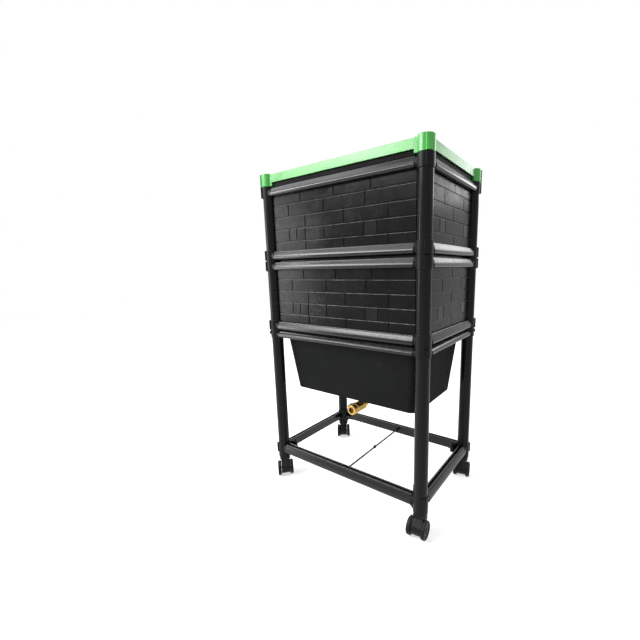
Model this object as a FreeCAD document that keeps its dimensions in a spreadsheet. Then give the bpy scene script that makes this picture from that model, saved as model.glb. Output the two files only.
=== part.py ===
"""A wormery: two brick-sided tiers above a storage tank, on a stand with four castors.

All lengths are millimetres. The origin lies on the floor under the middle of the stand.
X runs along the long front, the front faces -Y and Z points up.
"""
import FreeCAD
import Part

import math
import os

import Sketcher


# Driving sizes: each is written once, and everything else follows from them.
SIZES = {
    # Footprint and levels
    "post_span_long": 640.0,          # post axis to post axis along the front
    "post_span_short": 410.0,         # post axis to post axis from front to back
    "castor_height": 76.0,            # floor to the underside of a base connector
    "castor_sleeve_height": 20.0,     # part of a base connector that takes the castor stem
    "stand_height": 529.0,            # foot of the legs to the seat of the lower tier
    "tier_pitch": 269.5,              # seat of one tier to the seat of the next
    "cap_height": 44.0,
    # Tubes
    "tube_radius": 22.5,
    "tube_wall": 2.0,
    "tube_fit": 0.05,                 # radial clearance of a tube in its connector
    # Corner connectors
    "collar_wall": 2.45,
    "collar_height": 40.0,
    "collar_chamfer": 1.0,
    "top_ring_collar_height": 32.0,
    "tab_width": 18.0,
    "tab_stand_off": 4.7,             # how far a tab stands out from its collar
    "tab_margin": 2.0,                # collar left free above and below a tab
    "top_ring_tab_height": 12.0,
    "web_thickness": 3.0,
    "spigot_height": 12.0,
    "spigot_wall": 2.5,
    "spigot_fit": 0.35,               # radial clearance of a spigot in the collar above
    "spigot_end_gap": 0.5,
    "stop_thickness": 1.5,            # ring that the foot of a post stands on
    "stop_width": 4.5,
    "arm_reach": 2.0,                 # rail end beyond the face of the collar
    "arm_inset": 1.5,                 # arm section inside the rail section
    "tongue_length": 18.0,
    "tongue_fit": 0.1,
    "gusset_reach": 36.0,
    "gusset_depth": 19.0,
    "gusset_thickness": 12.0,
    "gusset_lip": 3.0,
    # Rails
    "rail_inner": 8.0,                # back of a rail, inwards from the post axis
    "rail_outer": 21.0,               # face of a rail, outwards from the post axis
    "rail_wall": 2.5,
    "rail_round": 8.0,
    "rail_shoulder": 11.4,
    "rail_shoulder_round": 7.5,
    "rail_step": 0.8,
    "rail_ridge": 11.0,
    "rail_groove": 1.2,
    "rail_groove_width": 2.5,
    "rail_slope": 4.0,
    "slot_inner": 3.0,
    "slot_outer": 6.2,
    "slot_seat": 20.75,               # panel edge above the underside of a foot rail
    "tier_rail_height": 32.0,
    "tier_rail_level": 4.0,           # underside of a rail above the foot of its collar
    "base_rail_height": 36.0,
    "base_rail_level": 2.0,
    "top_ring_rail_height": 24.0,
    "top_ring_rail_level": 4.0,
    "ledge_width": 8.0,
    "ledge_thickness": 3.0,
    "ledge_end_gap": 12.0,
    # Brick-pattern panels
    "panel_outer": 4.0,               # face of the bricks, outwards from the post axis
    "panel_thickness": 6.0,
    "panel_end_gap": 0.6,
    "joint_width": 4.0,
    "joint_depth": 2.0,
    "brick_slope": 1.5,               # drop of each brick's top edge, from the joint to its face
    # Worm floors
    "floor_thickness": 3.5,
    "floor_gap": 0.4,
    "floor_notch": 29.0,
    "floor_slot_length": 46.0,
    "floor_slot_width": 6.0,
    "floor_slot_pitch_long": 62.0,
    "floor_slot_pitch_short": 42.0,
    # Lid
    "lid_drop": 3.0,                  # rim below the top of the caps
    "lid_rim_height": 28.0,
    "lid_outer": 12.0,
    "lid_rim_width": 9.0,
    "lid_inset": 3.0,
    "lid_thickness": 3.0,
    "lid_wall": 3.0,
    "skirt_outer": 6.0,
    "skirt_wall": 4.0,
    "skirt_gap": 2.0,                 # skirt above the head rails
    "cap_arm_reach": 31.0,
    "cap_arm_inner": 8.0,
    "cap_top": 3.0,
    # Storage tank
    "tank_gap_long": 12.0,            # top of the tank inside the ring, at each end
    "tank_gap_short": 9.0,            # the same at the front and the back
    "tank_taper_long": 27.0,          # how far each end leans in over the depth
    "tank_taper_short": 31.0,
    "tank_bottom_round": 30.0,
    "tank_top_round": 35.0,
    "tank_depth": 239.0,              # flange underside to the bottom of the tank
    "tank_wall": 3.0,
    "tank_floor": 3.5,
    "flange_thickness": 3.0,
    "flange_outer": 3.0,
    "flange_gap": 0.5,
    # Outlet and valve
    "outlet_y": -45.0,
    "valve_drop": 52.0,               # valve axis below the bottom of the tank
    "bore_radius": 9.5,
    "elbow_radius": 15.0,
    "outlet_thread_radius": 13.0,
    "thread_fit": 0.05,
    "seal_thickness": 1.6,
    "seal_radius": 19.0,
    "outlet_flange_radius": 20.0,
    "outlet_flange_thickness": 4.0,
    "nut_height": 8.0,
    "nut_radius": 21.0,
    "elbow_bend": 16.0,               # radius of the middle line of the bend
    "elbow_reach": 20.0,
    "tail_radius": 12.0,
    "tail_length": 12.0,
    "valve_length": 80.0,
    "valve_radius": 19.0,
    "valve_neck_radius": 16.0,
    "mouth_radius": 11.5,
    "mouth_depth": 15.0,
    "ball_radius": 13.0,
    "ball_gap": 0.3,
    "ball_place": 40.0,               # ball centre from the tail end of the valve
    "ball_port_radius": 9.0,
    "stem_radius": 4.0,
    "stem_fit": 0.05,
    "stem_inner": 10.0,
    "stem_outer": 36.0,
    "gland_radius": 8.0,
    "gland_outer": 27.5,
    "handle_gap": 0.5,
    "handle_length": 52.0,
    "handle_width": 12.0,
    "handle_thickness": 3.0,
    "handle_hub_radius": 8.0,
    "handle_hub_height": 1.5,
    "handle_nut_radius": 6.5,
    "handle_nut_height": 4.0,
    # Tie rod
    "tie_x": 10.0,
    "tie_level": 116.0,
    "tie_radius": 3.25,
    "tie_fitting_radius": 6.0,
    "tie_fitting_length": 16.0,
    "clip_length": 8.0,
    "clip_wall": 2.2,
    "clip_hook": 7.0,
    # Castors
    "wheel_radius": 30.0,
    "wheel_width": 14.0,
    "wheel_gap": 0.6,
    "wheel_chamfer": 2.5,
    "wheel_dish": 1.8,
    "wheel_dish_radius": 22.0,
    "wheel_hub_radius": 8.5,
    "castor_trail": 20.0,
    "hood_radius": 22.3,
    "hood_width": 34.0,
    "hood_gap": 0.3,                  # running gap under the base connector
    "hood_core_radius": 24.0,
    "hood_neck_height": 14.0,
    "stem_pin_radius": 5.5,
    "stem_pin_depth": 20.0,
    "stem_pin_fit": 0.05,
    "stem_boss_radius": 9.5,
    "sleeve_wall": 2.5,
    "sleeve_inset": 0.5,
    "sleeve_web": 4.0,
    "side_boss_reach": 33.0,          # open boss inwards of the leg, measured along each rail
    "side_boss_radius": 10.0,
    "side_boss_bore": 7.0,
    "side_boss_foot": 6.0,
    "side_boss_height": 36.0,
    "side_boss_web": 5.0,
    "axle_radius": 3.0,
    "axle_fit": 0.05,
    "axle_recess": 0.8,
    # Resting direction of each castor's trail, in degrees about Z
    "castor_turn_front_left": -40.0,
    "castor_turn_front_right": -86.0,
    "castor_turn_back_left": -52.0,
    "castor_turn_back_right": -78.0,
}

PANEL_ROWS = 5
FLOOR_SLOTS_LONG = 9
FLOOR_SLOTS_SHORT = 8

# Upright brick joints, from the middle of a panel, top row first
FRONT_JOINTS = (
    (-155, -5, 142),
    (-217, -49, 120),
    (-136, 34, 203),
    (-218, -180, -138, -50, 115, 163),
    (-136, 34, 203),
)
SIDE_JOINTS = (
    (9,),
    (-75, 98),
    (5,),
    (-108, -64, 104, 150),
    (12,),
)

doc = FreeCAD.newDocument("wormery")
sheet = doc.addObject("Spreadsheet::Sheet", "Sizes")
nodes = []


class Size:
    """A length that carries its number and the expression that gives it."""

    def __init__(self, number, text):
        self.number = float(number)
        self.text = text

    def __add__(self, other):
        other = as_size(other)
        return Size(self.number + other.number, f"({self.text} + {other.text})")

    def __sub__(self, other):
        other = as_size(other)
        return Size(self.number - other.number, f"({self.text} - {other.text})")

    def __mul__(self, other):
        other = as_size(other)
        return Size(self.number * other.number, f"({self.text} * {other.text})")

    def __truediv__(self, other):
        other = as_size(other)
        return Size(self.number / other.number, f"({self.text} / {other.text})")

    def __neg__(self):
        return Size(-self.number, f"(0 - {self.text})")

    def __radd__(self, other):
        return as_size(other) + self

    def __rsub__(self, other):
        return as_size(other) - self

    def __rmul__(self, other):
        return as_size(other) * self


def as_size(value):
    """Turn a plain number into a Size."""
    if isinstance(value, Size):
        return value
    if value < 0:
        return Size(value, f"(0 - {-value})")
    return Size(value, f"{value}")


class Table:
    """The driving sizes by name, each as a Size that points at its cell."""


def fill_sheet():
    """Write the driving sizes into the sheet and return them by name."""
    table = Table()
    for row, (name, value) in enumerate(SIZES.items(), start=1):
        sheet.set(f"A{row}", name)
        sheet.set(f"B{row}", str(value))
        sheet.setAlias(f"B{row}", name)
        setattr(table, name, Size(value, f"Sizes.{name}"))
    doc.recompute()
    return table


def bind(obj, name, value):
    """Bind one property of an object to a size."""
    obj.setExpression(name, as_size(value).text)


def place(obj, x=0, y=0, z=0, axis=(0, 0, 1), angle=0):
    """Place an object, with its position and its turn bound to sizes."""
    spot = [as_size(value) for value in (x, y, z)]
    turn = as_size(angle)
    rotation = FreeCAD.Rotation(FreeCAD.Vector(*axis), turn.number)
    base = FreeCAD.Vector(*[value.number for value in spot])
    obj.Placement = FreeCAD.Placement(base, rotation)
    for letter, value in zip("xyz", (x, y, z)):
        if isinstance(value, Size):
            bind(obj, f"Placement.Base.{letter}", value)
    if isinstance(angle, Size):
        bind(obj, "Placement.Rotation.Angle", angle)
    return obj


def box(name, x, y, z):
    """A box between two values on each axis."""
    obj = doc.addObject("Part::Box", name)
    bind(obj, "Length", x[1] - x[0])
    bind(obj, "Width", y[1] - y[0])
    bind(obj, "Height", z[1] - z[0])
    return place(obj, x[0], y[0], z[0])


def cylinder(name, radius, height, x=0, y=0, z=0, along="Z"):
    """A cylinder from its foot point along X, Y or Z."""
    obj = doc.addObject("Part::Cylinder", name)
    bind(obj, "Radius", radius)
    bind(obj, "Height", height)
    turns = {"X": ((0, 1, 0), 90), "Y": ((1, 0, 0), -90), "Z": ((0, 0, 1), 0)}
    axis, angle = turns[along]
    return place(obj, x, y, z, axis, angle)


def sphere(name, radius, x=0, y=0, z=0):
    """A ball about a point."""
    obj = doc.addObject("Part::Sphere", name)
    bind(obj, "Radius", radius)
    return place(obj, x, y, z)


def quarter_bend(name, bend, radius, y, z):
    """A quarter of a ring that joins a drop above to a run towards -Y."""
    obj = doc.addObject("Part::Torus", name)
    bind(obj, "Radius1", bend)
    bind(obj, "Radius2", radius)
    obj.Angle3 = 90
    return place(obj, y=y - bend, z=z + bend, axis=(0, 1, 0), angle=90)


def hexagon(name, radius, height, x=0, y=0, z=0, along="Z"):
    """A six-sided bar from its foot point along X or Z."""
    obj = doc.addObject("Part::Prism", name)
    obj.Polygon = 6
    bind(obj, "Circumradius", radius)
    bind(obj, "Height", height)
    turns = {"X": ((0, 1, 0), 90), "Z": ((0, 0, 1), 0)}
    axis, angle = turns[along]
    return place(obj, x, y, z, axis, angle)


def fuse(name, *parts):
    """Join solids into one."""
    obj = doc.addObject("Part::MultiFuse", name)
    obj.Shapes = list(parts)
    obj.Refine = True
    return obj


def cut(name, base, *tools):
    """Take one or more solids away from another."""
    obj = doc.addObject("Part::Cut", name)
    obj.Base = base
    obj.Tool = tools[0] if len(tools) == 1 else fuse(f"{name}_tools", *tools)
    return obj


def common(name, first, second):
    """Keep what two solids share."""
    obj = doc.addObject("Part::Common", name)
    obj.Base = first
    obj.Tool = second
    return obj


def tube(name, outer, inner, height, x=0, y=0, z=0, along="Z"):
    """A round tube from its foot point along an axis."""
    return cut(
        name,
        cylinder(f"{name}_outer", outer, height, x, y, z, along),
        cylinder(f"{name}_bore", inner, height, x, y, z, along),
    )


def gather(name, *parts):
    """Keep several solids side by side as one piece of the document."""
    obj = doc.addObject("Part::Compound", name)
    obj.Links = list(parts)
    return obj


def mirror(name, source, axis):
    """The mirror image of an object across a plane through the origin."""
    obj = doc.addObject("Part::Mirroring", name)
    obj.Source = source
    obj.Normal = {"X": (1, 0, 0), "Y": (0, 1, 0)}[axis]
    return obj


def four_corners(name, corner):
    """One corner piece and its three mirror images, front right first."""
    left = mirror(f"{name}_front_left", corner, "X")
    return gather(
        name,
        corner,
        left,
        mirror(f"{name}_back_right", corner, "Y"),
        mirror(f"{name}_back_left", left, "Y"),
    )


def ring(name, front, right):
    """A front and a right piece with their mirror images."""
    return gather(
        name,
        front,
        mirror(f"{name}_back", front, "Y"),
        right,
        mirror(f"{name}_left", right, "X"),
    )


def raised(name, source, height):
    """The same piece at another level."""
    return place(gather(name, source), z=height)


def piece(label, obj):
    """Name a finished piece, so that it is written out."""
    obj.Label = label
    nodes.append(obj)
    return obj


def new_body(name):
    """An empty body."""
    return doc.addObject("PartDesign::Body", name)


def new_sketch(body, plane, offset=0):
    """A sketch on one of the body's own planes, moved along the plane's normal."""
    sketch = body.newObject("Sketcher::SketchObject", f"{body.Name}_sketch")
    features = body.Origin.OriginFeatures
    support = [feature for feature in features if feature.Role == plane][0]
    sketch.AttachmentSupport = [(support, "")]
    sketch.MapMode = "FlatFace"
    if isinstance(offset, Size):
        bind(sketch, "AttachmentOffset.Base.z", offset)
    return sketch


def arc_between(start, end, radius):
    """An arc between two points: a positive radius swells to the right of the way."""
    chord = end - start
    half = chord.Length / 2
    rise = math.sqrt(max(radius * radius - half * half, 0.0))
    side = FreeCAD.Vector(-chord.y, chord.x, 0).normalize()
    centre = start + chord * 0.5 + side * math.copysign(rise, radius)
    first, last = (start, end) if radius > 0 else (end, start)
    angles = [math.atan2((p - centre).y, (p - centre).x) for p in (first, last)]
    circle = Part.Circle(centre, FreeCAD.Vector(0, 0, 1), abs(radius))
    return Part.ArcOfCircle(circle, angles[0], angles[1])


def draw(sketch, points):
    """Draw a closed outline, anticlockwise, with every point bound to its sizes.

    A point with a third value starts an arc of that radius, hollow where it is negative.
    """
    first = sketch.GeometryCount
    count = len(points)
    spots = [[as_size(value) for value in point] for point in points]
    ends = []
    for index in range(count):
        here = spots[index]
        after = spots[(index + 1) % count]
        start = FreeCAD.Vector(here[0].number, here[1].number, 0)
        end = FreeCAD.Vector(after[0].number, after[1].number, 0)
        if len(here) == 3:
            sketch.addGeometry(arc_between(start, end, here[2].number))
            ends.append((1, 2) if here[2].number > 0 else (2, 1))
        else:
            sketch.addGeometry(Part.LineSegment(start, end))
            ends.append((1, 2))
    for index in range(count):
        after = (index + 1) % count
        sketch.addConstraint(Sketcher.Constraint(
            "Coincident", first + index, ends[index][1], first + after, ends[after][0]))
    for index in range(count):
        for kind, value in zip(("DistanceX", "DistanceY"), spots[index]):
            key = sketch.addConstraint(Sketcher.Constraint(
                kind, -1, 1, first + index, ends[index][0], value.number))
            sketch.setExpression(f"Constraints[{key}]", value.text)
        if len(spots[index]) == 3:
            radius = spots[index][2]
            if radius.number < 0:
                radius = -radius
            key = sketch.addConstraint(Sketcher.Constraint(
                "Radius", first + index, radius.number))
            sketch.setExpression(f"Constraints[{key}]", radius.text)
    return sketch


def pad(body, sketch, length, middle=False, reverse=False):
    """Thicken a sketch into a solid."""
    feature = body.newObject("PartDesign::Pad", f"{body.Name}_pad")
    feature.Profile = sketch
    feature.Midplane = middle
    feature.Reversed = reverse
    bind(feature, "Length", length)
    return feature


def pocket(body, sketch, depth):
    """Sink a sketch into the solid behind it."""
    feature = body.newObject("PartDesign::Pocket", f"{body.Name}_pocket")
    feature.Profile = sketch
    bind(feature, "Length", depth)
    return feature


def bar(name, plane, points, length, middle=False, reverse=False):
    """A body made of one outline with one length."""
    body = new_body(name)
    pad(body, draw(new_sketch(body, plane), points), length, middle, reverse)
    return body


def turned(name, plane, points, axis="H_Axis"):
    """A body turned about an axis of its sketch, the horizontal one unless told."""
    body = new_body(name)
    sketch = draw(new_sketch(body, plane), points)
    feature = body.newObject("PartDesign::Revolution", f"{name}_turn")
    feature.Profile = sketch
    feature.ReferenceAxis = (sketch, [axis])
    feature.Angle = 360
    return body


s = fill_sheet()

# Places and levels that several pieces share
axis_x = s.post_span_long / 2
axis_y = s.post_span_short / 2
leg_foot = s.castor_height + s.castor_sleeve_height
lower_seat = leg_foot + s.stand_height
lid_seat = lower_seat + 2 * s.tier_pitch
collar_radius = s.tube_radius + s.tube_fit + s.collar_wall
bore = s.tube_radius + s.tube_fit
rail_end = collar_radius + s.arm_reach
head_level = s.tier_pitch - s.collar_height


def collar_block(name, height):
    """The solid outside of a collar, with a chamfer at both ends."""
    inside = collar_radius - s.collar_chamfer
    return turned(name, "XZ_Plane", [
        (0, 0),
        (inside, 0),
        (collar_radius, s.collar_chamfer),
        (collar_radius, height - s.collar_chamfer),
        (inside, height),
        (0, height),
    ], "V_Axis")


def rail_outline(height, slot, inset=0):
    """Section of a rail: outwards is to the right, the underside is at zero.

    The panel slot opens above, below or not at all.
    """
    inner = inset - s.rail_inner
    outer = s.rail_outer - inset
    foot = as_size(inset)
    top = height - inset
    slot_left = -s.slot_inner - inset
    slot_right = s.slot_outer + inset
    slot_depth = s.tier_rail_height - s.slot_seat + inset
    ridge = s.rail_ridge - inset
    points = [(inner, foot)]
    if slot == "below":
        points += [
            (slot_left, foot),
            (slot_left, slot_depth),
            (slot_right, slot_depth),
            (slot_right, foot),
        ]
    points += [
        (outer - s.rail_round, foot, s.rail_round),
        (outer, foot + s.rail_round),
        (outer, height - s.rail_shoulder - s.rail_step),
        (outer - s.rail_step, height - s.rail_shoulder, s.rail_shoulder_round),
        (ridge + s.rail_groove_width, top - s.rail_slope),
        (ridge + s.rail_groove, top - s.rail_slope - s.rail_groove),
        (ridge, top),
    ]
    if slot == "above":
        points += [
            (slot_right, top),
            (slot_right, s.slot_seat - inset),
            (slot_left, s.slot_seat - inset),
            (slot_left, top),
        ]
    points += [(inner, top)]
    return points


def chamber(height, slack=0):
    """Section of the hollow behind the face of a rail; slack draws it in on every side."""
    left = s.slot_outer + s.rail_wall + slack
    right = s.rail_outer - s.rail_step - s.rail_wall - slack
    foot = s.rail_wall + slack
    top = height - s.rail_shoulder - s.rail_wall - slack
    return left, right, foot, top


def rectangle(left, right, foot, top):
    """The outline of an upright rectangle."""
    return [(left, foot), (right, foot), (right, top), (left, top)]


def rail(name, span, height, slot, ledge):
    """One rail along X, centred, with two chambers along its whole length."""
    body = new_body(name)
    section = draw(new_sketch(body, "YZ_Plane"), rail_outline(height, slot))
    draw(section, rectangle(*chamber(height)))
    slot_depth = s.tier_rail_height - s.slot_seat
    foot = s.rail_wall + slot_depth if slot == "below" else s.rail_wall
    top = s.slot_seat - s.rail_wall if slot == "above" else height - s.rail_wall
    draw(section, rectangle(s.rail_wall - s.rail_inner, s.slot_outer, foot, top))
    pad(body, section, span - 2 * rail_end, middle=True)
    if ledge:
        inner = -s.rail_inner
        shelf = rectangle(inner - s.ledge_width, inner, 0, s.ledge_thickness)
        sketch = draw(new_sketch(body, "YZ_Plane"), shelf)
        pad(body, sketch, span - 2 * (rail_end + s.ledge_end_gap), middle=True)
    return body


def rails(name, height, slot, level, ledge=False):
    """The long and the short rails of one ring: two pieces and their mirror images."""
    front = place(
        rail(f"{name}_long", s.post_span_long, height, slot, ledge),
        y=-axis_y, z=level, angle=180)
    right = place(
        rail(f"{name}_short", s.post_span_short, height, slot, ledge),
        x=axis_x, z=level, angle=-90)
    return front, right


def connector(name, height, rail_height, rail_level, slot, tab_foot, tab_height):
    """Outside of a corner connector about its post axis, for the front right corner."""
    tab = common(
        f"{name}_tab",
        cylinder(f"{name}_tab_round", collar_radius + s.tab_stand_off, tab_height, z=tab_foot),
        place(
            box(
                f"{name}_tab_block",
                (as_size(0), collar_radius + s.tab_stand_off),
                (-s.tab_width / 2, s.tab_width / 2),
                (tab_foot, tab_foot + tab_height),
            ),
            x=-s.tab_width / 2 * math.sqrt(0.5),
            y=-s.tab_width / 2 * math.sqrt(0.5),
            z=tab_foot,
            angle=-45,
        ),
    )
    section = rail_outline(rail_height, slot, s.arm_inset)
    arm_long = place(
        bar(f"{name}_arm_long", "YZ_Plane", section, rail_end),
        z=rail_level, angle=180)
    arm_short = place(
        bar(f"{name}_arm_short", "YZ_Plane", section, rail_end, reverse=True),
        z=rail_level, angle=-90)
    inner, outer, foot, top = chamber(rail_height, s.tongue_fit)
    up = (rail_level + foot, rail_level + top)
    tongue_long = box(
        f"{name}_tongue_long",
        (-rail_end - s.tongue_length, 1 - rail_end),
        (-outer, -inner),
        up,
    )
    tongue_short = box(
        f"{name}_tongue_short",
        (inner, outer),
        (rail_end - 1, rail_end + s.tongue_length),
        up,
    )
    collar = collar_block(f"{name}_collar", height)
    return fuse(f"{name}_outside", collar, tab, arm_long, arm_short, tongue_long, tongue_short)


def spigot_connector(name, height, rail_height, rail_level, slot, tab_foot, tab_height):
    """A connector that closes the tube below and carries a spigot for the piece above."""
    outside = connector(name, height, rail_height, rail_level, slot, tab_foot, tab_height)
    bored = cut(
        f"{name}_bored",
        outside,
        cylinder(f"{name}_bore", bore, height - s.web_thickness + 1, z=-1),
    )
    web = cylinder(f"{name}_web", collar_radius - s.collar_wall / 2, s.web_thickness,
                   z=height - s.web_thickness)
    spigot_radius = bore - s.spigot_fit
    spigot = tube(f"{name}_spigot", spigot_radius, spigot_radius - s.spigot_wall,
                  s.spigot_height + s.web_thickness, z=height - s.web_thickness)
    clear = cut(
        f"{name}_open",
        bored,
        cylinder(f"{name}_web_seat", collar_radius - s.collar_wall / 2, s.web_thickness,
                 z=height - s.web_thickness),
    )
    return fuse(name, clear, web, spigot)


# Stand: base connectors, legs, rails and the ring that carries the tank
def gusset(name):
    """A curved web under the end of a base rail."""
    start = collar_radius - s.collar_wall - s.sleeve_inset
    end = rail_end + s.gusset_reach - s.arm_reach
    return bar(name, "XZ_Plane", [
        (start, s.base_rail_level - s.gusset_depth),
        (collar_radius, s.base_rail_level - s.gusset_depth, -s.gusset_reach),
        (end, s.base_rail_level - s.gusset_lip),
        (end, s.base_rail_level),
        (rail_end, s.base_rail_level),
        (rail_end, s.base_rail_level + s.gusset_lip),
        (start, s.base_rail_level + s.gusset_lip),
    ], s.gusset_thickness, middle=True)


base_outside = connector(
    "base_corner", s.collar_height, s.base_rail_height, s.base_rail_level, "above",
    s.tab_margin, s.collar_height - 2 * s.tab_margin)
base_bored = cut(
    "base_corner_bored",
    base_outside,
    cylinder("base_corner_bore", bore, s.collar_height + 1),
)
sleeve_radius = collar_radius - s.sleeve_inset
sleeve = tube("base_sleeve", sleeve_radius, sleeve_radius - s.sleeve_wall,
              s.castor_sleeve_height, z=-s.castor_sleeve_height)
web_start = bore + s.collar_wall / 2
web_end = s.side_boss_reach * math.sqrt(2)
side_web = bar("base_side_web", "XY_Plane", [
    (web_start, -s.side_boss_web / 2),
    (web_end, -s.side_boss_web / 2),
    (web_end, s.side_boss_web / 2),
    (web_start, s.side_boss_web / 2),
], s.side_boss_height)
base_solid = fuse(
    "base_corner_solid",
    base_bored,
    sleeve,
    cylinder("base_side_boss", s.side_boss_radius, s.side_boss_height,
             -s.side_boss_reach, s.side_boss_reach, s.side_boss_foot),
    place(side_web, z=s.side_boss_foot, angle=135),
    cylinder("base_web", sleeve_radius, s.sleeve_web, z=-s.sleeve_web),
    cylinder("base_boss", s.stem_boss_radius, s.castor_sleeve_height, z=-s.castor_sleeve_height),
    place(gusset("gusset_long"), angle=180),
    place(gusset("gusset_short"), angle=90),
)
base_corner = cut(
    "base_corner",
    base_solid,
    cylinder("base_leg_seat", bore, s.collar_height + 1),
    cylinder("base_stem_bore", s.stem_pin_radius + s.stem_pin_fit,
             s.castor_sleeve_height - s.sleeve_web + 1, z=-s.castor_sleeve_height - 1),
    cylinder("base_side_bore", s.side_boss_bore, s.side_boss_height,
             -s.side_boss_reach, s.side_boss_reach, s.side_boss_foot + s.sleeve_web),
)
place(base_corner, x=axis_x, y=-axis_y, z=leg_foot)
piece("base_connectors", four_corners("base_connectors", base_corner))

leg_length = s.stand_height - s.web_thickness
for label, x, y in (
    ("leg_front_left", -axis_x, -axis_y),
    ("leg_front_right", axis_x, -axis_y),
    ("leg_back_left", -axis_x, axis_y),
    ("leg_back_right", axis_x, axis_y),
):
    piece(label, tube(label, s.tube_radius, s.tube_radius - s.tube_wall, leg_length, x, y, leg_foot))

base_front, base_right = rails(
    "base_rail", s.base_rail_height, "above", leg_foot + s.base_rail_level)
piece("base_rails_long", gather("base_rails_long", base_front, mirror("base_rail_back", base_front, "Y")))
piece("base_rails_short", gather("base_rails_short", base_right, mirror("base_rail_left", base_right, "X")))

top_corner = spigot_connector(
    "top_ring_corner", s.top_ring_collar_height, s.top_ring_rail_height,
    s.top_ring_rail_level, "none",
    s.top_ring_collar_height / 2, s.top_ring_tab_height)
place(top_corner, x=axis_x, y=-axis_y, z=lower_seat - s.top_ring_collar_height)
piece("top_ring_connectors", four_corners("top_ring_connectors", top_corner))

top_rail_foot = lower_seat - s.top_ring_collar_height + s.top_ring_rail_level
top_front, top_right = rails("top_ring_rail", s.top_ring_rail_height, "none", top_rail_foot)
piece("top_ring_rails", ring("top_ring_rails", top_front, top_right))

# Tie rod between the base rails, with its fitting and its hook
tie_end = axis_y - s.rail_inner
piece("tie_rod", fuse(
    "tie_rod",
    cylinder("tie_bar", s.tie_radius, 2 * tie_end, s.tie_x, -tie_end, s.tie_level, "Y"),
    cylinder("tie_fitting", s.tie_fitting_radius, s.tie_fitting_length,
             s.tie_x, tie_end - s.tie_fitting_length, s.tie_level, "Y"),
))
clip_half = s.clip_length / 2
piece("tie_clip", cut(
    "tie_clip",
    fuse(
        "clip_block",
        cylinder("clip_ring", s.tie_radius + s.clip_wall, s.clip_length,
                 s.tie_x, -clip_half, s.tie_level, "Y"),
        box("clip_hook",
            (s.tie_x - s.clip_wall / 2, s.tie_x + s.clip_wall / 2),
            (-clip_half, clip_half),
            (s.tie_level, s.tie_level + s.tie_radius + s.clip_hook)),
    ),
    cylinder("clip_bore", s.tie_radius, s.clip_length, s.tie_x, -clip_half, s.tie_level, "Y"),
))

# Castors: a stem in each base connector, a hood that swivels on it, an axle and two wheels
stem_length = s.stem_pin_depth + s.hood_gap + s.castor_sleeve_height - s.sleeve_web
stem_foot = s.castor_height - s.hood_gap - s.stem_pin_depth
stem = cylinder("castor_stem", s.stem_pin_radius, stem_length, axis_x, -axis_y, stem_foot)
piece("castor_stems", four_corners("castor_stems", stem))

hood_top = s.castor_height - s.hood_gap
neck_foot = hood_top - s.hood_neck_height
core = s.hood_core_radius
slant = math.sqrt(0.5)
hood_side = bar("hood_side", "XZ_Plane", [
    (-s.hood_radius, s.wheel_radius + core / 2, s.hood_radius * 2.4),
    (s.castor_trail - core / 2, s.wheel_radius - core * math.sqrt(0.75), core),
    (s.castor_trail + core, s.wheel_radius, core),
    (s.castor_trail + core * slant, s.wheel_radius + core * slant),
    (s.hood_radius, neck_foot),
    (s.hood_radius, hood_top),
    (-s.hood_radius, hood_top),
], s.hood_width, middle=True)
half_hood = s.hood_width / 2
hood = cut(
    "hood",
    fuse("hood_block", hood_side, cylinder("hood_neck", s.hood_radius, s.hood_neck_height, z=neck_foot)),
    cylinder("hood_stem_bore", s.stem_pin_radius + s.stem_pin_fit, s.stem_pin_depth + 1, z=stem_foot - s.stem_pin_fit),
    cylinder("hood_axle_bore", s.axle_radius + s.axle_fit, s.hood_width + 2,
             s.castor_trail, -half_hood - 1, s.wheel_radius, "Y"),
)
axle_half = half_hood + s.wheel_gap + s.wheel_width - s.axle_recess
axle = cylinder("axle", s.axle_radius, 2 * axle_half, s.castor_trail, -axle_half, s.wheel_radius, "Y")
wheel_bore = s.axle_radius + s.axle_fit
wheel_profile = [
    (0, wheel_bore),
    (s.wheel_width, wheel_bore),
    (s.wheel_width, s.wheel_hub_radius),
    (s.wheel_width - s.wheel_dish, s.wheel_hub_radius),
    (s.wheel_width - s.wheel_dish, s.wheel_dish_radius),
    (s.wheel_width, s.wheel_dish_radius),
    (s.wheel_width, s.wheel_radius - s.wheel_chamfer),
    (s.wheel_width - s.wheel_chamfer, s.wheel_radius),
    (s.wheel_chamfer, s.wheel_radius),
    (0, s.wheel_radius - s.wheel_chamfer),
]
wheel_left = place(
    turned("wheel", "YZ_Plane", wheel_profile),
    x=s.castor_trail, y=half_hood + s.wheel_gap, z=s.wheel_radius)
wheel_right = mirror("wheel_right", wheel_left, "Y")

for corner, x, y, turn in (
    ("front_left", -axis_x, -axis_y, s.castor_turn_front_left),
    ("front_right", axis_x, -axis_y, s.castor_turn_front_right),
    ("back_left", -axis_x, axis_y, s.castor_turn_back_left),
    ("back_right", axis_x, axis_y, s.castor_turn_back_right),
):
    for kind, source in (
        ("castor_hood", hood),
        ("castor_axle", axle),
        ("castor_wheel_a", wheel_left),
        ("castor_wheel_b", wheel_right),
    ):
        label = f"{kind}_{corner}"
        piece(label, place(gather(label, source), x, y, angle=turn))


# Storage tank, hung by its flange in the top ring
def rounded(half_long, half_short, radius):
    """A rectangle about the origin with rounded corners."""
    return [
        (half_long, radius - half_short),
        (half_long, half_short - radius, radius),
        (half_long - radius, half_short),
        (radius - half_long, half_short, radius),
        (-half_long, half_short - radius),
        (-half_long, radius - half_short, radius),
        (radius - half_long, -half_short),
        (half_long - radius, -half_short, radius),
    ]


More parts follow.
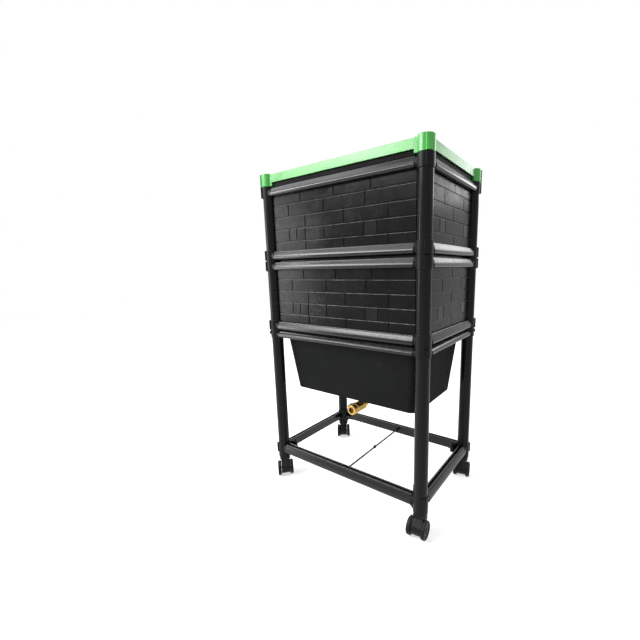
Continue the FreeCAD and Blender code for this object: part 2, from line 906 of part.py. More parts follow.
def taper(name, lower, upper):
    """A straight-sided solid between two rounded rectangles at two levels."""
    body = new_body(name)
    sections = []
    for half_long, half_short, radius, level in (lower, upper):
        sketch = new_sketch(body, "XY_Plane", level)
        sections.append(draw(sketch, rounded(half_long, half_short, radius)))
    feature = body.newObject("PartDesign::AdditiveLoft", f"{name}_loft")
    feature.Profile = sections[0]
    feature.Sections = [sections[1]]
    feature.Ruled = True
    return body


def corners(points):
    """Repeat the outline of the front right corner around the other three."""
    flipped = points[::-1]
    return (
        points
        + [(x, -y) for x, y in flipped]
        + [(-x, -y) for x, y in points]
        + [(-x, y) for x, y in flipped]
    )


flange_foot = top_rail_foot + s.top_ring_rail_height
tank_foot = flange_foot - s.tank_depth
flange_top = flange_foot + s.flange_thickness
tank_x = axis_x - s.rail_inner - s.tank_gap_long
tank_y = axis_y - s.rail_inner - s.tank_gap_short
tank_bottom_x = tank_x - s.tank_taper_long
tank_bottom_y = tank_y - s.tank_taper_short
tank_outside = taper(
    "tank_outside",
    (tank_bottom_x, tank_bottom_y, s.tank_bottom_round, tank_foot),
    (tank_x, tank_y, s.tank_top_round, flange_top),
)
tank_inside = taper(
    "tank_inside",
    (tank_bottom_x - s.tank_wall, tank_bottom_y - s.tank_wall,
     s.tank_bottom_round - s.tank_wall, tank_foot + s.tank_floor),
    (tank_x - s.tank_wall, tank_y - s.tank_wall,
     s.tank_top_round - s.tank_wall, flange_top + 1),
)
edge_x = axis_x + s.flange_outer
edge_y = axis_y + s.flange_outer
notch = (collar_radius + s.flange_gap) * math.sqrt(2) - s.rail_inner
flange = bar("tank_flange_plate", "XY_Plane", corners([
    (axis_x - notch, -edge_y),
    (axis_x - notch, -axis_y + s.rail_inner),
    (axis_x - s.rail_inner, -axis_y + notch),
    (edge_x, -axis_y + notch),
]), s.flange_thickness)
place(flange, z=flange_foot)
piece("tank_tub", cut(
    "tank_tub",
    fuse("tank_block", tank_outside, flange),
    tank_inside,
    cylinder("tank_outlet_hole", s.outlet_thread_radius + s.thread_fit, s.tank_floor + 2,
             0, s.outlet_y, tank_foot - 1),
))

# Outlet: seals on both sides of the tank floor, a lock nut inside and an elbow below
tank_inner_floor = tank_foot + s.tank_floor
seal_hole = s.outlet_thread_radius + s.thread_fit
piece("outlet_seals", gather(
    "outlet_seals",
    tube("seal_inside", s.seal_radius, seal_hole, s.seal_thickness, 0, s.outlet_y, tank_inner_floor),
    tube("seal_outside", s.seal_radius, seal_hole, s.seal_thickness, 0, s.outlet_y,
         tank_foot - s.seal_thickness),
))
nut_foot = tank_inner_floor + s.seal_thickness
piece("outlet_nut", cut(
    "outlet_nut",
    hexagon("nut_block", s.nut_radius, s.nut_height, 0, s.outlet_y, nut_foot),
    cylinder("nut_hole", seal_hole, s.nut_height, 0, s.outlet_y, nut_foot),
))
valve_level = tank_foot - s.valve_drop
flange_seat = tank_foot - s.seal_thickness - s.outlet_flange_thickness
thread_top = nut_foot + s.nut_height + 1
elbow_end = s.outlet_y - s.elbow_reach
bend_top = valve_level + s.elbow_bend
piece("outlet_elbow", cut(
    "outlet_elbow",
    fuse(
        "elbow_block",
        cylinder("elbow_drop", s.elbow_radius, flange_seat - bend_top, 0, s.outlet_y, bend_top),
        cylinder("elbow_flange", s.outlet_flange_radius, s.outlet_flange_thickness,
                 0, s.outlet_y, flange_seat),
        cylinder("elbow_thread", s.outlet_thread_radius, thread_top - flange_seat,
                 0, s.outlet_y, flange_seat),
        quarter_bend("elbow_quarter", s.elbow_bend, s.elbow_radius, s.outlet_y, valve_level),
        cylinder("elbow_run", s.elbow_radius, s.elbow_reach - s.elbow_bend,
                 0, elbow_end, valve_level, "Y"),
        cylinder("elbow_tail", s.tail_radius, s.tail_length,
                 0, elbow_end - s.tail_length, valve_level, "Y"),
    ),
    fuse(
        "elbow_bore",
        cylinder("elbow_bore_drop", s.bore_radius, thread_top - bend_top + 1,
                 0, s.outlet_y, bend_top),
        quarter_bend("elbow_bore_quarter", s.elbow_bend, s.bore_radius, s.outlet_y, valve_level),
        cylinder("elbow_bore_run", s.bore_radius,
                 s.elbow_reach - s.elbow_bend + s.tail_length + 1,
                 0, elbow_end - s.tail_length - 1, valve_level, "Y"),
    ),
))

# Valve: a body with waists, a ball in its chamber, a stem, a handle and its nut
tail_bore = s.tail_radius + s.thread_fit
length = s.valve_length
waist = s.valve_radius - s.valve_neck_radius
barrel_half = s.ball_radius + waist / 2
barrel_from = s.ball_place - barrel_half
barrel_to = s.ball_place + barrel_half
valve_shell = turned("valve_shell", "XZ_Plane", [
    (0, tail_bore),
    (s.tail_length, tail_bore),
    (s.tail_length, s.bore_radius),
    (length - s.mouth_depth, s.bore_radius),
    (length - s.mouth_depth, s.mouth_radius),
    (length, s.mouth_radius),
    (length, s.valve_radius - 2),
    (length - 2, s.valve_radius),
    (length - s.mouth_depth - 2, s.valve_radius),
    (length - s.mouth_depth - 2 - waist, s.valve_neck_radius),
    (barrel_to + waist, s.valve_neck_radius),
    (barrel_to, s.valve_radius),
    (barrel_from, s.valve_radius),
    (barrel_from - waist, s.valve_neck_radius),
    (s.tail_length + 2 + waist, s.valve_neck_radius),
    (s.tail_length + 2, s.valve_radius),
    (2, s.valve_radius),
    (0, s.valve_radius - 2),
])
place(valve_shell, y=elbow_end, z=valve_level, angle=-90)
ball_y = elbow_end - s.ball_place
piece("valve_body", cut(
    "valve_body",
    fuse(
        "valve_block",
        valve_shell,
        cylinder("valve_gland", s.gland_radius, s.gland_outer - s.ball_radius, -s.gland_outer, ball_y, valve_level, "X"),
    ),
    sphere("valve_chamber", s.ball_radius + s.ball_gap, 0, ball_y, valve_level),
    cylinder("valve_stem_bore", s.stem_radius + s.stem_fit, s.gland_outer + 1,
             -s.gland_outer - 1, ball_y, valve_level, "X"),
))
piece("valve_ball", cut(
    "valve_ball",
    sphere("ball_block", s.ball_radius, 0, ball_y, valve_level),
    cylinder("ball_port", s.ball_port_radius, 2 * s.ball_radius + 2, 0, ball_y - s.ball_radius - 1, valve_level, "Y"),
    cylinder("ball_key", s.stem_radius, s.ball_radius, -s.ball_radius - s.stem_inner, ball_y, valve_level, "X"),
))
piece("valve_stem", cylinder(
    "valve_stem", s.stem_radius, s.stem_outer - s.stem_inner, -s.stem_outer, ball_y, valve_level, "X"))
half_width = s.handle_width / 2
half_bar = s.handle_length / 2
handle_face = -s.gland_outer - s.handle_gap
hub_face = handle_face - s.handle_thickness - s.handle_hub_height
handle_bar = bar("handle_bar", "YZ_Plane", [
    (half_bar - half_width, -half_width, half_width),
    (half_bar, 0, half_width),
    (half_bar - half_width, half_width),
    (half_width - half_bar, half_width, half_width),
    (-half_bar, 0, half_width),
    (half_width - half_bar, -half_width),
], s.handle_thickness)
place(handle_bar, x=handle_face - s.handle_thickness, y=ball_y, z=valve_level)
piece("valve_handle", cut(
    "valve_handle",
    fuse(
        "handle_block",
        handle_bar,
        cylinder("handle_hub", s.handle_hub_radius, s.handle_thickness + s.handle_hub_height,
                 hub_face, ball_y, valve_level, "X"),
    ),
    cylinder("handle_hole", s.stem_radius, s.stem_outer, -s.stem_outer, ball_y, valve_level, "X"),
))
piece("valve_handle_nut", cut(
    "valve_handle_nut",
    hexagon("handle_nut_block", s.handle_nut_radius, s.handle_nut_height,
            hub_face - s.handle_nut_height, ball_y, valve_level, "X"),
    cylinder("handle_nut_hole", s.stem_radius, s.stem_outer, -s.stem_outer - 5, ball_y, valve_level, "X"),
))


# Tiers: the same pieces twice, one pitch apart
def panel(name, span, joint_rows):
    """A panel of raised bricks, its inner face at zero and its bricks towards -Y."""
    seat = s.tier_rail_level + s.slot_seat
    height = s.tier_pitch - 2 * seat
    row = height / PANEL_ROWS
    half = span / 2 - collar_radius - s.panel_end_gap
    gap = s.joint_width / 2
    sunk = s.panel_thickness - s.joint_depth
    profile = [(0, height), (0, 0), (-s.panel_thickness, 0)]
    for index in range(1, PANEL_ROWS):
        level = index * row
        profile += [
            (-s.panel_thickness, level - gap - s.brick_slope),
            (-sunk, level - gap),
            (-sunk, level + gap),
            (-s.panel_thickness, level + gap),
        ]
    profile.append((-s.panel_thickness, height))
    body = bar(name, "YZ_Plane", profile, 2 * half, middle=True)
    face = new_sketch(body, "XZ_Plane", s.panel_thickness)
    for index, joints in enumerate(joint_rows):
        foot = row * (PANEL_ROWS - 1 - index)
        for joint in joints:
            draw(face, [
                (joint - gap, foot + gap),
                (joint + gap, foot + gap),
                (joint + gap, foot + row - gap),
                (joint - gap, foot + row - gap),
            ])
    pocket(body, face, s.joint_depth)
    return body


def worm_floor(name):
    """A slotted floor that lies on the ledges of the foot rails."""
    body = new_body(name)
    half_x = axis_x - s.rail_inner - s.floor_gap
    half_y = axis_y - s.rail_inner - s.floor_gap
    notch_x = axis_x - s.floor_notch
    notch_y = axis_y - s.floor_notch
    pad(body, draw(new_sketch(body, "XY_Plane"), corners([
        (notch_x, -half_y),
        (notch_x, -notch_y),
        (half_x, -notch_y),
    ])), s.floor_thickness)
    face = new_sketch(body, "XY_Plane", s.floor_thickness)
    start_x = -s.floor_slot_pitch_long * (FLOOR_SLOTS_LONG - 1) / 2
    start_y = -s.floor_slot_pitch_short * (FLOOR_SLOTS_SHORT - 1) / 2
    half_length = s.floor_slot_length / 2
    half_slot = s.floor_slot_width / 2
    slot = pocket(body, draw(face, [
        (start_x - half_length, start_y - half_slot),
        (start_x + half_length, start_y - half_slot),
        (start_x + half_length, start_y + half_slot),
        (start_x - half_length, start_y + half_slot),
    ]), s.floor_thickness + 1)
    grid = body.newObject("PartDesign::MultiTransform", f"{name}_grid")
    grid.Originals = [slot]
    steps = []
    for axis, count, pitch in (
        ("H_Axis", FLOOR_SLOTS_LONG, s.floor_slot_pitch_long),
        ("V_Axis", FLOOR_SLOTS_SHORT, s.floor_slot_pitch_short),
    ):
        step = body.newObject("PartDesign::LinearPattern", f"{name}_{axis}")
        step.Direction = (face, [axis])
        step.Occurrences = count
        bind(step, "Length", pitch * (count - 1))
        steps.append(step)
    grid.Transformations = steps
    body.Tip = grid
    return body


tier_tab = (s.tab_margin, s.collar_height - 2 * s.tab_margin)
foot_outside = connector("foot_corner", s.collar_height, s.tier_rail_height, s.tier_rail_level,
                         "above", *tier_tab)
post_foot = s.spigot_height + s.spigot_end_gap + s.stop_thickness
foot_corner = fuse(
    "foot_corner",
    cut("foot_corner_bored", foot_outside, cylinder("foot_corner_bore", bore, s.collar_height + 2, z=-1)),
    tube("foot_corner_stop", collar_radius - s.collar_wall / 2, bore - s.stop_width,
         s.stop_thickness, z=post_foot - s.stop_thickness),
)
place(foot_corner, x=axis_x, y=-axis_y, z=lower_seat)
head_corner = spigot_connector("head_corner", s.collar_height, s.tier_rail_height,
                               s.tier_rail_level, "below", *tier_tab)
place(head_corner, x=axis_x, y=-axis_y, z=lower_seat + head_level)
post = tube("post", s.tube_radius, s.tube_radius - s.tube_wall,
            s.tier_pitch - post_foot - s.web_thickness, axis_x, -axis_y, lower_seat + post_foot)

rail_foot = lower_seat + s.tier_rail_level
foot_front, foot_right = rails("foot_rail", s.tier_rail_height, "above", rail_foot, ledge=True)
head_front, head_right = rails("head_rail", s.tier_rail_height, "below", rail_foot + head_level)

panel_foot = rail_foot + s.slot_seat
panel_back = s.panel_outer - s.panel_thickness
front_panel = place(
    panel("front_bricks", s.post_span_long, FRONT_JOINTS),
    y=-axis_y - panel_back, z=panel_foot)
right_panel = place(
    panel("side_bricks", s.post_span_short, SIDE_JOINTS),
    x=axis_x + panel_back, z=panel_foot, angle=90)

tier = {
    "foot_connectors": four_corners("foot_connectors", foot_corner),
    "head_connectors": four_corners("head_connectors", head_corner),
    "posts": four_corners("posts", post),
    "foot_rails": ring("foot_rails", foot_front, foot_right),
    "head_rails": ring("head_rails", head_front, head_right),
    "panel_front": gather("panel_front", front_panel),
    "panel_back": mirror("panel_back", front_panel, "Y"),
    "panel_right": gather("panel_right", right_panel),
    "panel_left": mirror("panel_left", right_panel, "X"),
    "worm_floor": place(worm_floor("slotted_floor"), z=rail_foot + s.ledge_thickness),
}
for part_name, source in tier.items():
    piece(f"lower_{part_name}", source)
    piece(f"upper_{part_name}", raised(f"upper_{part_name}", source, s.tier_pitch))


# Lid: corner caps, a panel with a rim, and a skirt under the rim
def cross(reach, inset=0):
    """The outline of the lid, cut back at the corners for the caps."""
    half_x = axis_x + reach
    half_y = axis_y + reach
    notch_x = axis_x - s.cap_arm_reach - inset
    notch_y = axis_y - s.cap_arm_reach - inset
    return corners([(notch_x, -half_y), (notch_x, -notch_y), (half_x, -notch_y)])


cap_outside = fuse(
    "cap_outside",
    collar_block("cap_round", s.cap_height),
    common(
        "cap_tab",
        cylinder("cap_tab_round", collar_radius + s.tab_stand_off, s.cap_height - s.tab_margin),
        place(
            box(
                "cap_tab_block",
                (as_size(0), collar_radius + s.tab_stand_off),
                (-s.tab_width / 2, s.tab_width / 2),
                (as_size(0), s.cap_height - s.tab_margin),
            ),
            x=-s.tab_width / 2 * math.sqrt(0.5),
            y=-s.tab_width / 2 * math.sqrt(0.5),
            angle=-45,
        ),
    ),
    box("cap_arm_long", (-s.cap_arm_reach, as_size(0)), (-s.lid_outer, s.cap_arm_inner),
        (s.tab_margin, s.cap_height - s.tab_margin)),
    box("cap_arm_short", (-s.cap_arm_inner, s.lid_outer), (as_size(0), s.cap_arm_reach),
        (s.tab_margin, s.cap_height - s.tab_margin)),
    box("cap_infill", (-s.cap_arm_reach, as_size(0)), (as_size(0), s.cap_arm_reach),
        (s.tab_margin, s.cap_height - s.lid_drop - s.lid_inset)),
)
cap = cut("cap", cap_outside, cylinder("cap_bore", bore, s.cap_height - s.cap_top + 1, z=-1))
place(cap, x=axis_x, y=-axis_y, z=lid_seat)
piece("lid_caps", four_corners("lid_caps", cap))

rim_foot = lid_seat + s.cap_height - s.lid_drop - s.lid_rim_height
lid = bar("lid_block", "XY_Plane", cross(s.lid_outer), s.lid_rim_height)
top_face = new_sketch(lid, "XY_Plane", s.lid_rim_height)
pocket(lid, draw(top_face, cross(s.lid_outer - s.lid_rim_width, s.lid_rim_width)), s.lid_inset)
place(lid, z=rim_foot)
hollow_height = s.lid_rim_height - s.lid_inset - s.lid_thickness
hollow = bar("lid_hollow", "XY_Plane", cross(s.lid_outer - s.lid_wall, s.lid_wall), hollow_height + 1)
place(hollow, z=rim_foot - 1)
piece("lid_panel", cut("lid_panel", lid, hollow))

skirt_foot = lid_seat - s.collar_height + s.tier_rail_level + s.tier_rail_height + s.skirt_gap
skirt_height = rim_foot - skirt_foot
skirt_outside = bar("skirt_outside", "XY_Plane", cross(s.skirt_outer, s.floor_gap), skirt_height)
skirt_inside = bar("skirt_inside", "XY_Plane",
                   cross(s.skirt_outer - s.skirt_wall, s.floor_gap + s.skirt_wall), skirt_height)
place(skirt_outside, z=skirt_foot)
place(skirt_inside, z=skirt_foot)
piece("lid_skirt", cut("lid_skirt", skirt_outside, skirt_inside))

doc.recompute()

# Check every object, then write each piece to its own file
for obj in doc.Objects:
    if "Invalid" in obj.State or "Error" in obj.State:
        raise RuntimeError(f"{obj.Label} failed: {obj.State}")
os.makedirs("parts", exist_ok=True)
for obj in nodes:
    shape = obj.Shape
    if shape.isNull() or not shape.isValid() or not shape.Solids:
        raise RuntimeError(f"{obj.Label} has no valid solid")
    solids = shape.Solids
    shape = solids[0] if len(solids) == 1 else Part.makeCompound(solids)
    shape.exportStep(f"parts/{obj.Label}.step")
    print(f"{obj.Label}: {len(solids)} solid(s), {shape.Volume / 1000:.1f} cm3")
print(f"{len(nodes)} pieces")
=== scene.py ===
"""Looks for the wormery: its plastics, rubber, brass and steel, rails with soft deep shoulders,
and a pale studio seen from the photograph's angle."""

import math

import bmesh
import bpy
from mathutils import Matrix, Vector


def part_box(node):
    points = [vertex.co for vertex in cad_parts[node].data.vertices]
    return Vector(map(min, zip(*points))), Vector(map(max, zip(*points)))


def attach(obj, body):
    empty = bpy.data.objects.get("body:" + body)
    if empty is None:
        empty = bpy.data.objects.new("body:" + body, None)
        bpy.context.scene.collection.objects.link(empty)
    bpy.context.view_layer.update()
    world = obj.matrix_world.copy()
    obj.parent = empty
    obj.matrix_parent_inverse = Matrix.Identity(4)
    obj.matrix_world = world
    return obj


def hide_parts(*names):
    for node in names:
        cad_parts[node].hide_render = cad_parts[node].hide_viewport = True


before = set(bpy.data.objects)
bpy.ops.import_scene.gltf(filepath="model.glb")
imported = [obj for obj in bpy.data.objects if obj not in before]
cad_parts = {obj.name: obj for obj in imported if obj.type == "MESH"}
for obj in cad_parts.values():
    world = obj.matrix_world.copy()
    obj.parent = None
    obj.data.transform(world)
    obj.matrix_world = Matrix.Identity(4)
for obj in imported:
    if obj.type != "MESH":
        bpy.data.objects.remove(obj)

bl_info = {
    "name": "Wormery looks",
    "version": (1, 0, 0),
    "blender": (4, 5, 0),
    "location": "3D View > Sidebar > Wormery",
    "description": "Gives the wormery its finishes, its softened rails and a studio",
    "category": "Object",
}

CORNERS = ("front_left", "front_right", "back_left", "back_right")
TIERS = ("lower", "upper")
SIDES = ("front", "back", "left", "right")

# Finishes that several pieces share
# Dust grey, which also paints pale lines of light along the brick panels' ledges
DUST_AND_SHEEN_GREY = (0.34, 0.34, 0.35, 1.0)
# Pale grey mixed into brick panels: on the front panels it paints a sheen that stands for a
# reflection, and it lightens the short square bricks
PALE_BRICK_TINT = (0.080, 0.087, 0.096, 1.0)
BRASS_STAIN = (0.16, 0.09, 0.03)
STEEL_STAIN = (0.20, 0.20, 0.20)
CHROME_STAIN = (0.30, 0.30, 0.30)

# A rail's section, inwards from its outer face, in metres. Where the slope of its shoulder
# is SLOPE_RUN inwards, it lies SLOPE_DROP below the top.
SLOPE_RUN = 0.0075
SLOPE_DROP = 0.0033
TOP_SLOT = (0.0148, 0.0240)
LIP = (0.0245, 0.0270)
RAIL_DEPTH = 0.042

# The gap under a lip, and the least distance of an outer face from the middle, in x and in y
LIP_GAP = 0.001
OUTSIDE = (0.3, 0.2)

# How far off a point may be and still lie on an edge, or on the underside of a rail
ON_EDGE = 5e-5
ON_UNDERSIDE = 2e-5

# Rows of a brick panel, and the short bricks of its second row from below, end to end
BRICK_ROWS = 5
SMOOTH_BRICK = (-0.180, -0.138)
PALE_BRICK = (0.115, 0.163)
PALE_SIDE_BRICKS = ((-0.108, -0.064), (0.104, 0.150))

# The pale patch of painted sheen on a front panel, standing for a reflection: its middle and how
# fast it fades, along and upwards
PATCH_MIDDLE = (-0.160, 0.078)
PATCH_FADE = (8.0, 15.0)

# The photograph, in pixels: its width, the lens's focal length and where its axis meets it
FRAME_WIDTH = 640.0
FOCAL_LENGTH = 341.4
LENS_AXIS = (363.4, 332.7)

# Where the camera stands, and its turn to the left, its dip and its roll
CAMERA_PLACE = (0.7440, -1.1212, 0.853)
CAMERA_TURN, CAMERA_DIP, CAMERA_ROLL = (math.radians(angle) for angle in (34.94, 10.30, -0.89))


# ---------------------------------------------------------------- sizes and colours


def colour(name, description, red, green, blue):
    """A colour property, in linear values."""
    return bpy.props.FloatVectorProperty(
        name=name, description=description, subtype="COLOR", size=3,
        min=0.0, max=1.0, default=(red, green, blue),
    )


def share(name, description, default):
    """A property between nought and one."""
    return bpy.props.FloatProperty(
        name=name, description=description, subtype="FACTOR", min=0.0, max=1.0, default=default,
    )


def length(name, description, default):
    """A length property, in metres."""
    return bpy.props.FloatProperty(
        name=name, description=description, subtype="DISTANCE", unit="LENGTH",
        min=0.0, precision=4, default=default,
    )


def power(name, description, default):
    """The power of a lamp, in watts."""
    return bpy.props.FloatProperty(
        name=name, description=description, subtype="POWER", unit="POWER", min=0.0, default=default,
    )


class WormeryPlastics(bpy.types.PropertyGroup):
    """Colours and finish of the plastic pieces."""

    tube: colour("Tube", "Legs, posts and castor wheels", 0.0060, 0.0062, 0.0066)
    fitting: colour("Fitting", "Corner connectors and castor hoods", 0.0055, 0.0057, 0.0060)
    rail: colour("Rail", "Rails, tie rod and the skirt of the lid", 0.0065, 0.0067, 0.0070)
    brick: colour("Brick panel", "Brick-pattern side panels", 0.0062, 0.0063, 0.0065)
    tank: colour("Tank", "Storage tank, worm floors and seals", 0.0048, 0.0050, 0.0052)
    lid: colour("Lid", "Lid panel", 0.080, 0.390, 0.078)
    cap: colour("Lid caps", "Corner caps of the lid", 0.065, 0.400, 0.070)
    shoulder: length("Shoulder", "Height of the sloping shoulder of a rail", 0.020)
    ring_shoulder: length("Ring shoulder", "The same on the low rails of the ring", 0.013)
    shoulder_round: length("Shoulder rounding", "Rounding of a shoulder's lower edge", 0.0065)
    top_round: length("Top rounding", "Rounding of a rail's upper outer edge", 0.0030)
    slot_round: length("Slot rounding", "Rounding along the top slots of base rails", 0.0014)
    edge_round: length("Edge rounding", "How far the moulded edges look rounded", 0.0012)
    dust: share("Dust", "How much dust lies on faces that look up", 0.12)


class WormeryMetals(bpy.types.PropertyGroup):
    """Colours of the valve and of the steel parts."""

    brass: colour("Brass", "Valve body, elbow and nut", 0.560, 0.370, 0.110)
    lever: colour("Lever", "Valve lever", 0.620, 0.420, 0.110)
    chrome: colour("Chrome", "Valve ball", 0.780, 0.790, 0.800)
    steel: colour("Plated steel", "Stems, axles and the lever nut", 0.560, 0.565, 0.570)


class WormeryStudio(bpy.types.PropertyGroup):
    """Floor, lamps and surroundings."""

    floor: colour("Floor", "Floor and backdrop", 0.86, 0.86, 0.86)
    sky: share("Sky", "Strength of the even light from all round", 0.50)
    lift: share("Lift", "How much the floor is whitened to the eye", 0.55)
    front: power("Front lamp", "Wide soft lamp at the front left", 76.0)
    high: power("High lamp", "Soft lamp above the front one", 26.0)
    rear: power("Rear lamp", "Soft lamp behind, to the right", 14.0)
    top: power("Top lamp", "Soft lamp overhead, to the left", 25.0)
    side: power("Side lamp", "Tall soft lamp far to the left", 34.0)
    back: power("Back lamp", "Soft lamp behind, to the left", 30.0)


# ---------------------------------------------------------------- shader helpers


class Sheet:
    """One node tree and short ways to fill it."""

    def __init__(self, tree):
        self.tree = tree
        self.nodes = tree.nodes
        self.links = tree.links

    def add(self, kind, **values):
        """A node of that kind, with its properties set."""
        node = self.nodes.new("ShaderNode" + kind)
        for key, value in values.items():
            setattr(node, key, value)
        return node

    def feed(self, socket, value):
        """Links or sets one input."""
        if isinstance(value, bpy.types.NodeSocket):
            self.links.new(value, socket)
        else:
            socket.default_value = value

    def math(self, operation, first, second=None, third=None, clamp=False):
        """A sum on plain numbers."""
        node = self.add("Math", operation=operation, use_clamp=clamp)
        for socket, value in zip(node.inputs, (first, second, third)):
            if value is not None:
                self.feed(socket, value)
        return node.outputs[0]

    def vector(self, operation, first, second=None):
        """A sum on vectors."""
        node = self.add("VectorMath", operation=operation)
        self.feed(node.inputs[0], first)
        if second is not None:
            self.feed(node.inputs[1], second)
        return node.outputs["Value" if operation == "DOT_PRODUCT" else "Vector"]

    def remap(self, value, from_low, from_high, to_low=0.0, to_high=1.0):
        """Stretches a range of numbers onto another."""
        node = self.add("MapRange")
        for socket, item in zip(node.inputs, (value, from_low, from_high, to_low, to_high)):
            self.feed(socket, item)
        return node.outputs[0]

    def both(self, first, second):
        """One where two masks meet."""
        return self.math("MULTIPLY", first, second)

    def between(self, value, start, end):
        """One where a value lies between two others."""
        return self.both(self.math("GREATER_THAN", value, start),
                         self.math("LESS_THAN", value, end))

    def blend(self, amount, first, second):
        """A mix of two colours."""
        node = self.add("Mix", data_type="RGBA", blend_type="MIX")
        self.feed(node.inputs["Factor"], amount)
        self.feed(node.inputs[6], first)
        self.feed(node.inputs[7], second)
        return node.outputs[2]

    def noise(self, place, scale, detail=2.0, roughness=0.5, distortion=0.0):
        """A noise texture's value."""
        node = self.add("TexNoise")
        self.feed(node.inputs["Vector"], place)
        self.feed(node.inputs["Scale"], scale)
        self.feed(node.inputs["Detail"], detail)
        self.feed(node.inputs["Roughness"], roughness)
        self.feed(node.inputs["Distortion"], distortion)
        return node.outputs["Fac"]

    def stretch(self, place, scale, turn=(0.0, 0.0, 0.0)):
        """The place, turned and scaled along its axes."""
        node = self.add("Mapping")
        self.feed(node.inputs["Vector"], place)
        node.inputs["Scale"].default_value = scale
        node.inputs["Rotation"].default_value = turn
        return node.outputs[0]

    def group(self, tree, **values):
        """One of the shared effects, with this material's values."""
        node = self.add("Group")
        node.node_tree = tree
        for key, value in values.items():
            self.feed(node.inputs[key.replace("_", " ").capitalize()], value)
        return node.outputs


def effect(name, inputs, outputs):
    """A new shader node group with named inputs and outputs."""
    tree = bpy.data.node_groups.new(name, "ShaderNodeTree")
    for label, kind, default in inputs:
        socket = tree.interface.new_socket(label, in_out="INPUT", socket_type="NodeSocket" + kind)
        if default is not None:
            socket.default_value = default
    for label, kind in outputs:
        tree.interface.new_socket(label, in_out="OUTPUT", socket_type="NodeSocket" + kind)
    sheet = Sheet(tree)
    start, end = tree.nodes.new("NodeGroupInput"), tree.nodes.new("NodeGroupOutput")
    return sheet, start.outputs, end.inputs


def rounded_edge_effect():
    """Soft edges for sharp solids, and a patchy mask of where they are, which paints a highlight
    along them, partly as edge wear.
    """
    sheet, given, result = effect(
        "Rounded edges",
        [("Place", "Vector", None), ("Radius", "Float", 0.001)],
        [("Normal", "Vector"), ("Mask", "Float")],
    )
    bevel = sheet.add("Bevel", samples=4)
    sheet.feed(bevel.inputs["Radius"], given["Radius"])
    flat = sheet.add("NewGeometry").outputs["Normal"]
    bend = sheet.math("SUBTRACT", 1.0, sheet.vector("DOT_PRODUCT", bevel.outputs[0], flat))
    lightening = sheet.noise(given["Place"], 140.0, 3.0, 0.6)
    mask = sheet.math("MULTIPLY", sheet.remap(bend, 0.02, 0.25), sheet.remap(lightening, 0.35, 0.65))
    sheet.feed(result["Normal"], bevel.outputs[0])
    sheet.feed(result["Mask"], mask)
    return sheet.tree


def moulded_grain_effect():
    """The fine leather-like grain of moulded plastic."""
    sheet, given, result = effect(
        "Moulded grain",
        [("Place", "Vector", None), ("Scale", "Float", 900.0), ("Flow scale", "Float", 9.0)],
        [("Height", "Float"), ("Tone", "Float")],
    )
    cells = sheet.add("TexVoronoi")
    sheet.feed(cells.inputs["Vector"], given["Place"])
    sheet.feed(cells.inputs["Scale"], given["Scale"])
    fine = sheet.noise(given["Place"], sheet.math("MULTIPLY", given["Scale"], 0.6), 2.0)
    height = sheet.math("ADD", sheet.math("MULTIPLY", cells.outputs["Distance"], 0.6), fine)
    tone = sheet.noise(given["Place"], given["Flow scale"], 4.0, 0.55, 0.6)
    sheet.feed(result["Height"], height)
    sheet.feed(result["Tone"], sheet.remap(tone, 0.3, 0.7))
    return sheet.tree


def drawn_lines_effect():
    """Faint lines that run along each extruded rail, as it left its die."""
    sheet, given, result = effect(
        "Drawn lines",
        [("Place", "Vector", None), ("Corner", "Float", 0.2935)],
        [("Height", "Float"), ("Tone", "Float")],
    )
    parts = sheet.add("SeparateXYZ")
    sheet.feed(parts.inputs[0], given["Place"])
    long_way = sheet.noise(sheet.stretch(given["Place"], (0.8, 260.0, 260.0)), 1.0, 3.0)
    short_way = sheet.noise(sheet.stretch(given["Place"], (260.0, 0.8, 260.0)), 1.0, 3.0)
    at_side = sheet.math("GREATER_THAN", sheet.math("ABSOLUTE", parts.outputs[0]), given["Corner"])
    lines = sheet.add("Mix", data_type="FLOAT")
    sheet.feed(lines.inputs[0], at_side)
    sheet.feed(lines.inputs[2], long_way)
    sheet.feed(lines.inputs[3], short_way)
    sheet.feed(result["Height"], lines.outputs[0])
    sheet.feed(result["Tone"], sheet.remap(lines.outputs[0], 0.35, 0.65))
    return sheet.tree


def scuff_effect():
    """Short fine scratches and rubbed patches."""
    sheet, given, result = effect(
        "Scuffs",
        [("Place", "Vector", None), ("Scale", "Float", 1.0)],
        [("Scratches", "Float"), ("Patches", "Float")],
    )
    place = sheet.vector("SCALE", given["Place"])
    sheet.feed(place.node.inputs["Scale"], given["Scale"])
    total = None
    for turn, seed in (((0.5, 0.3, 0.4), 3.0), ((-0.6, 0.8, -0.3), 7.0)):
        line = sheet.noise(sheet.stretch(place, (16.0, 420.0, 420.0), turn), 1.0, 1.0, 0.5, 0.3)
        here = sheet.noise(place, 11.0 + seed, 2.0)
        line = sheet.math("MULTIPLY", sheet.remap(line, 0.69, 0.74), sheet.remap(here, 0.5, 0.62))
        total = line if total is None else sheet.math("MAXIMUM", total, line)
    patch = sheet.noise(place, 26.0, 6.0, 0.72, 1.2)
    sheet.feed(result["Scratches"], total)
    sheet.feed(result["Patches"], sheet.remap(patch, 0.46, 0.66))
    return sheet.tree


def dust_effect():
    """Dust that lies on faces that look up."""
    sheet, given, result = effect(
        "Dust",
        [("Place", "Vector", None), ("Amount", "Float", 0.1)],
        [("Mask", "Float")],
    )
    up = sheet.add("SeparateXYZ")
    sheet.feed(up.inputs[0], sheet.add("NewGeometry").outputs["Normal"])
    cloud = sheet.remap(sheet.noise(given["Place"], 42.0, 5.0, 0.65), 0.38, 0.72, 0.25, 1.0)
    flat = sheet.remap(up.outputs[2], 0.35, 0.95)
    mask = sheet.math("MULTIPLY", sheet.math("MULTIPLY", cloud, flat), given["Amount"])
    sheet.feed(result["Mask"], mask)
    return sheet.tree


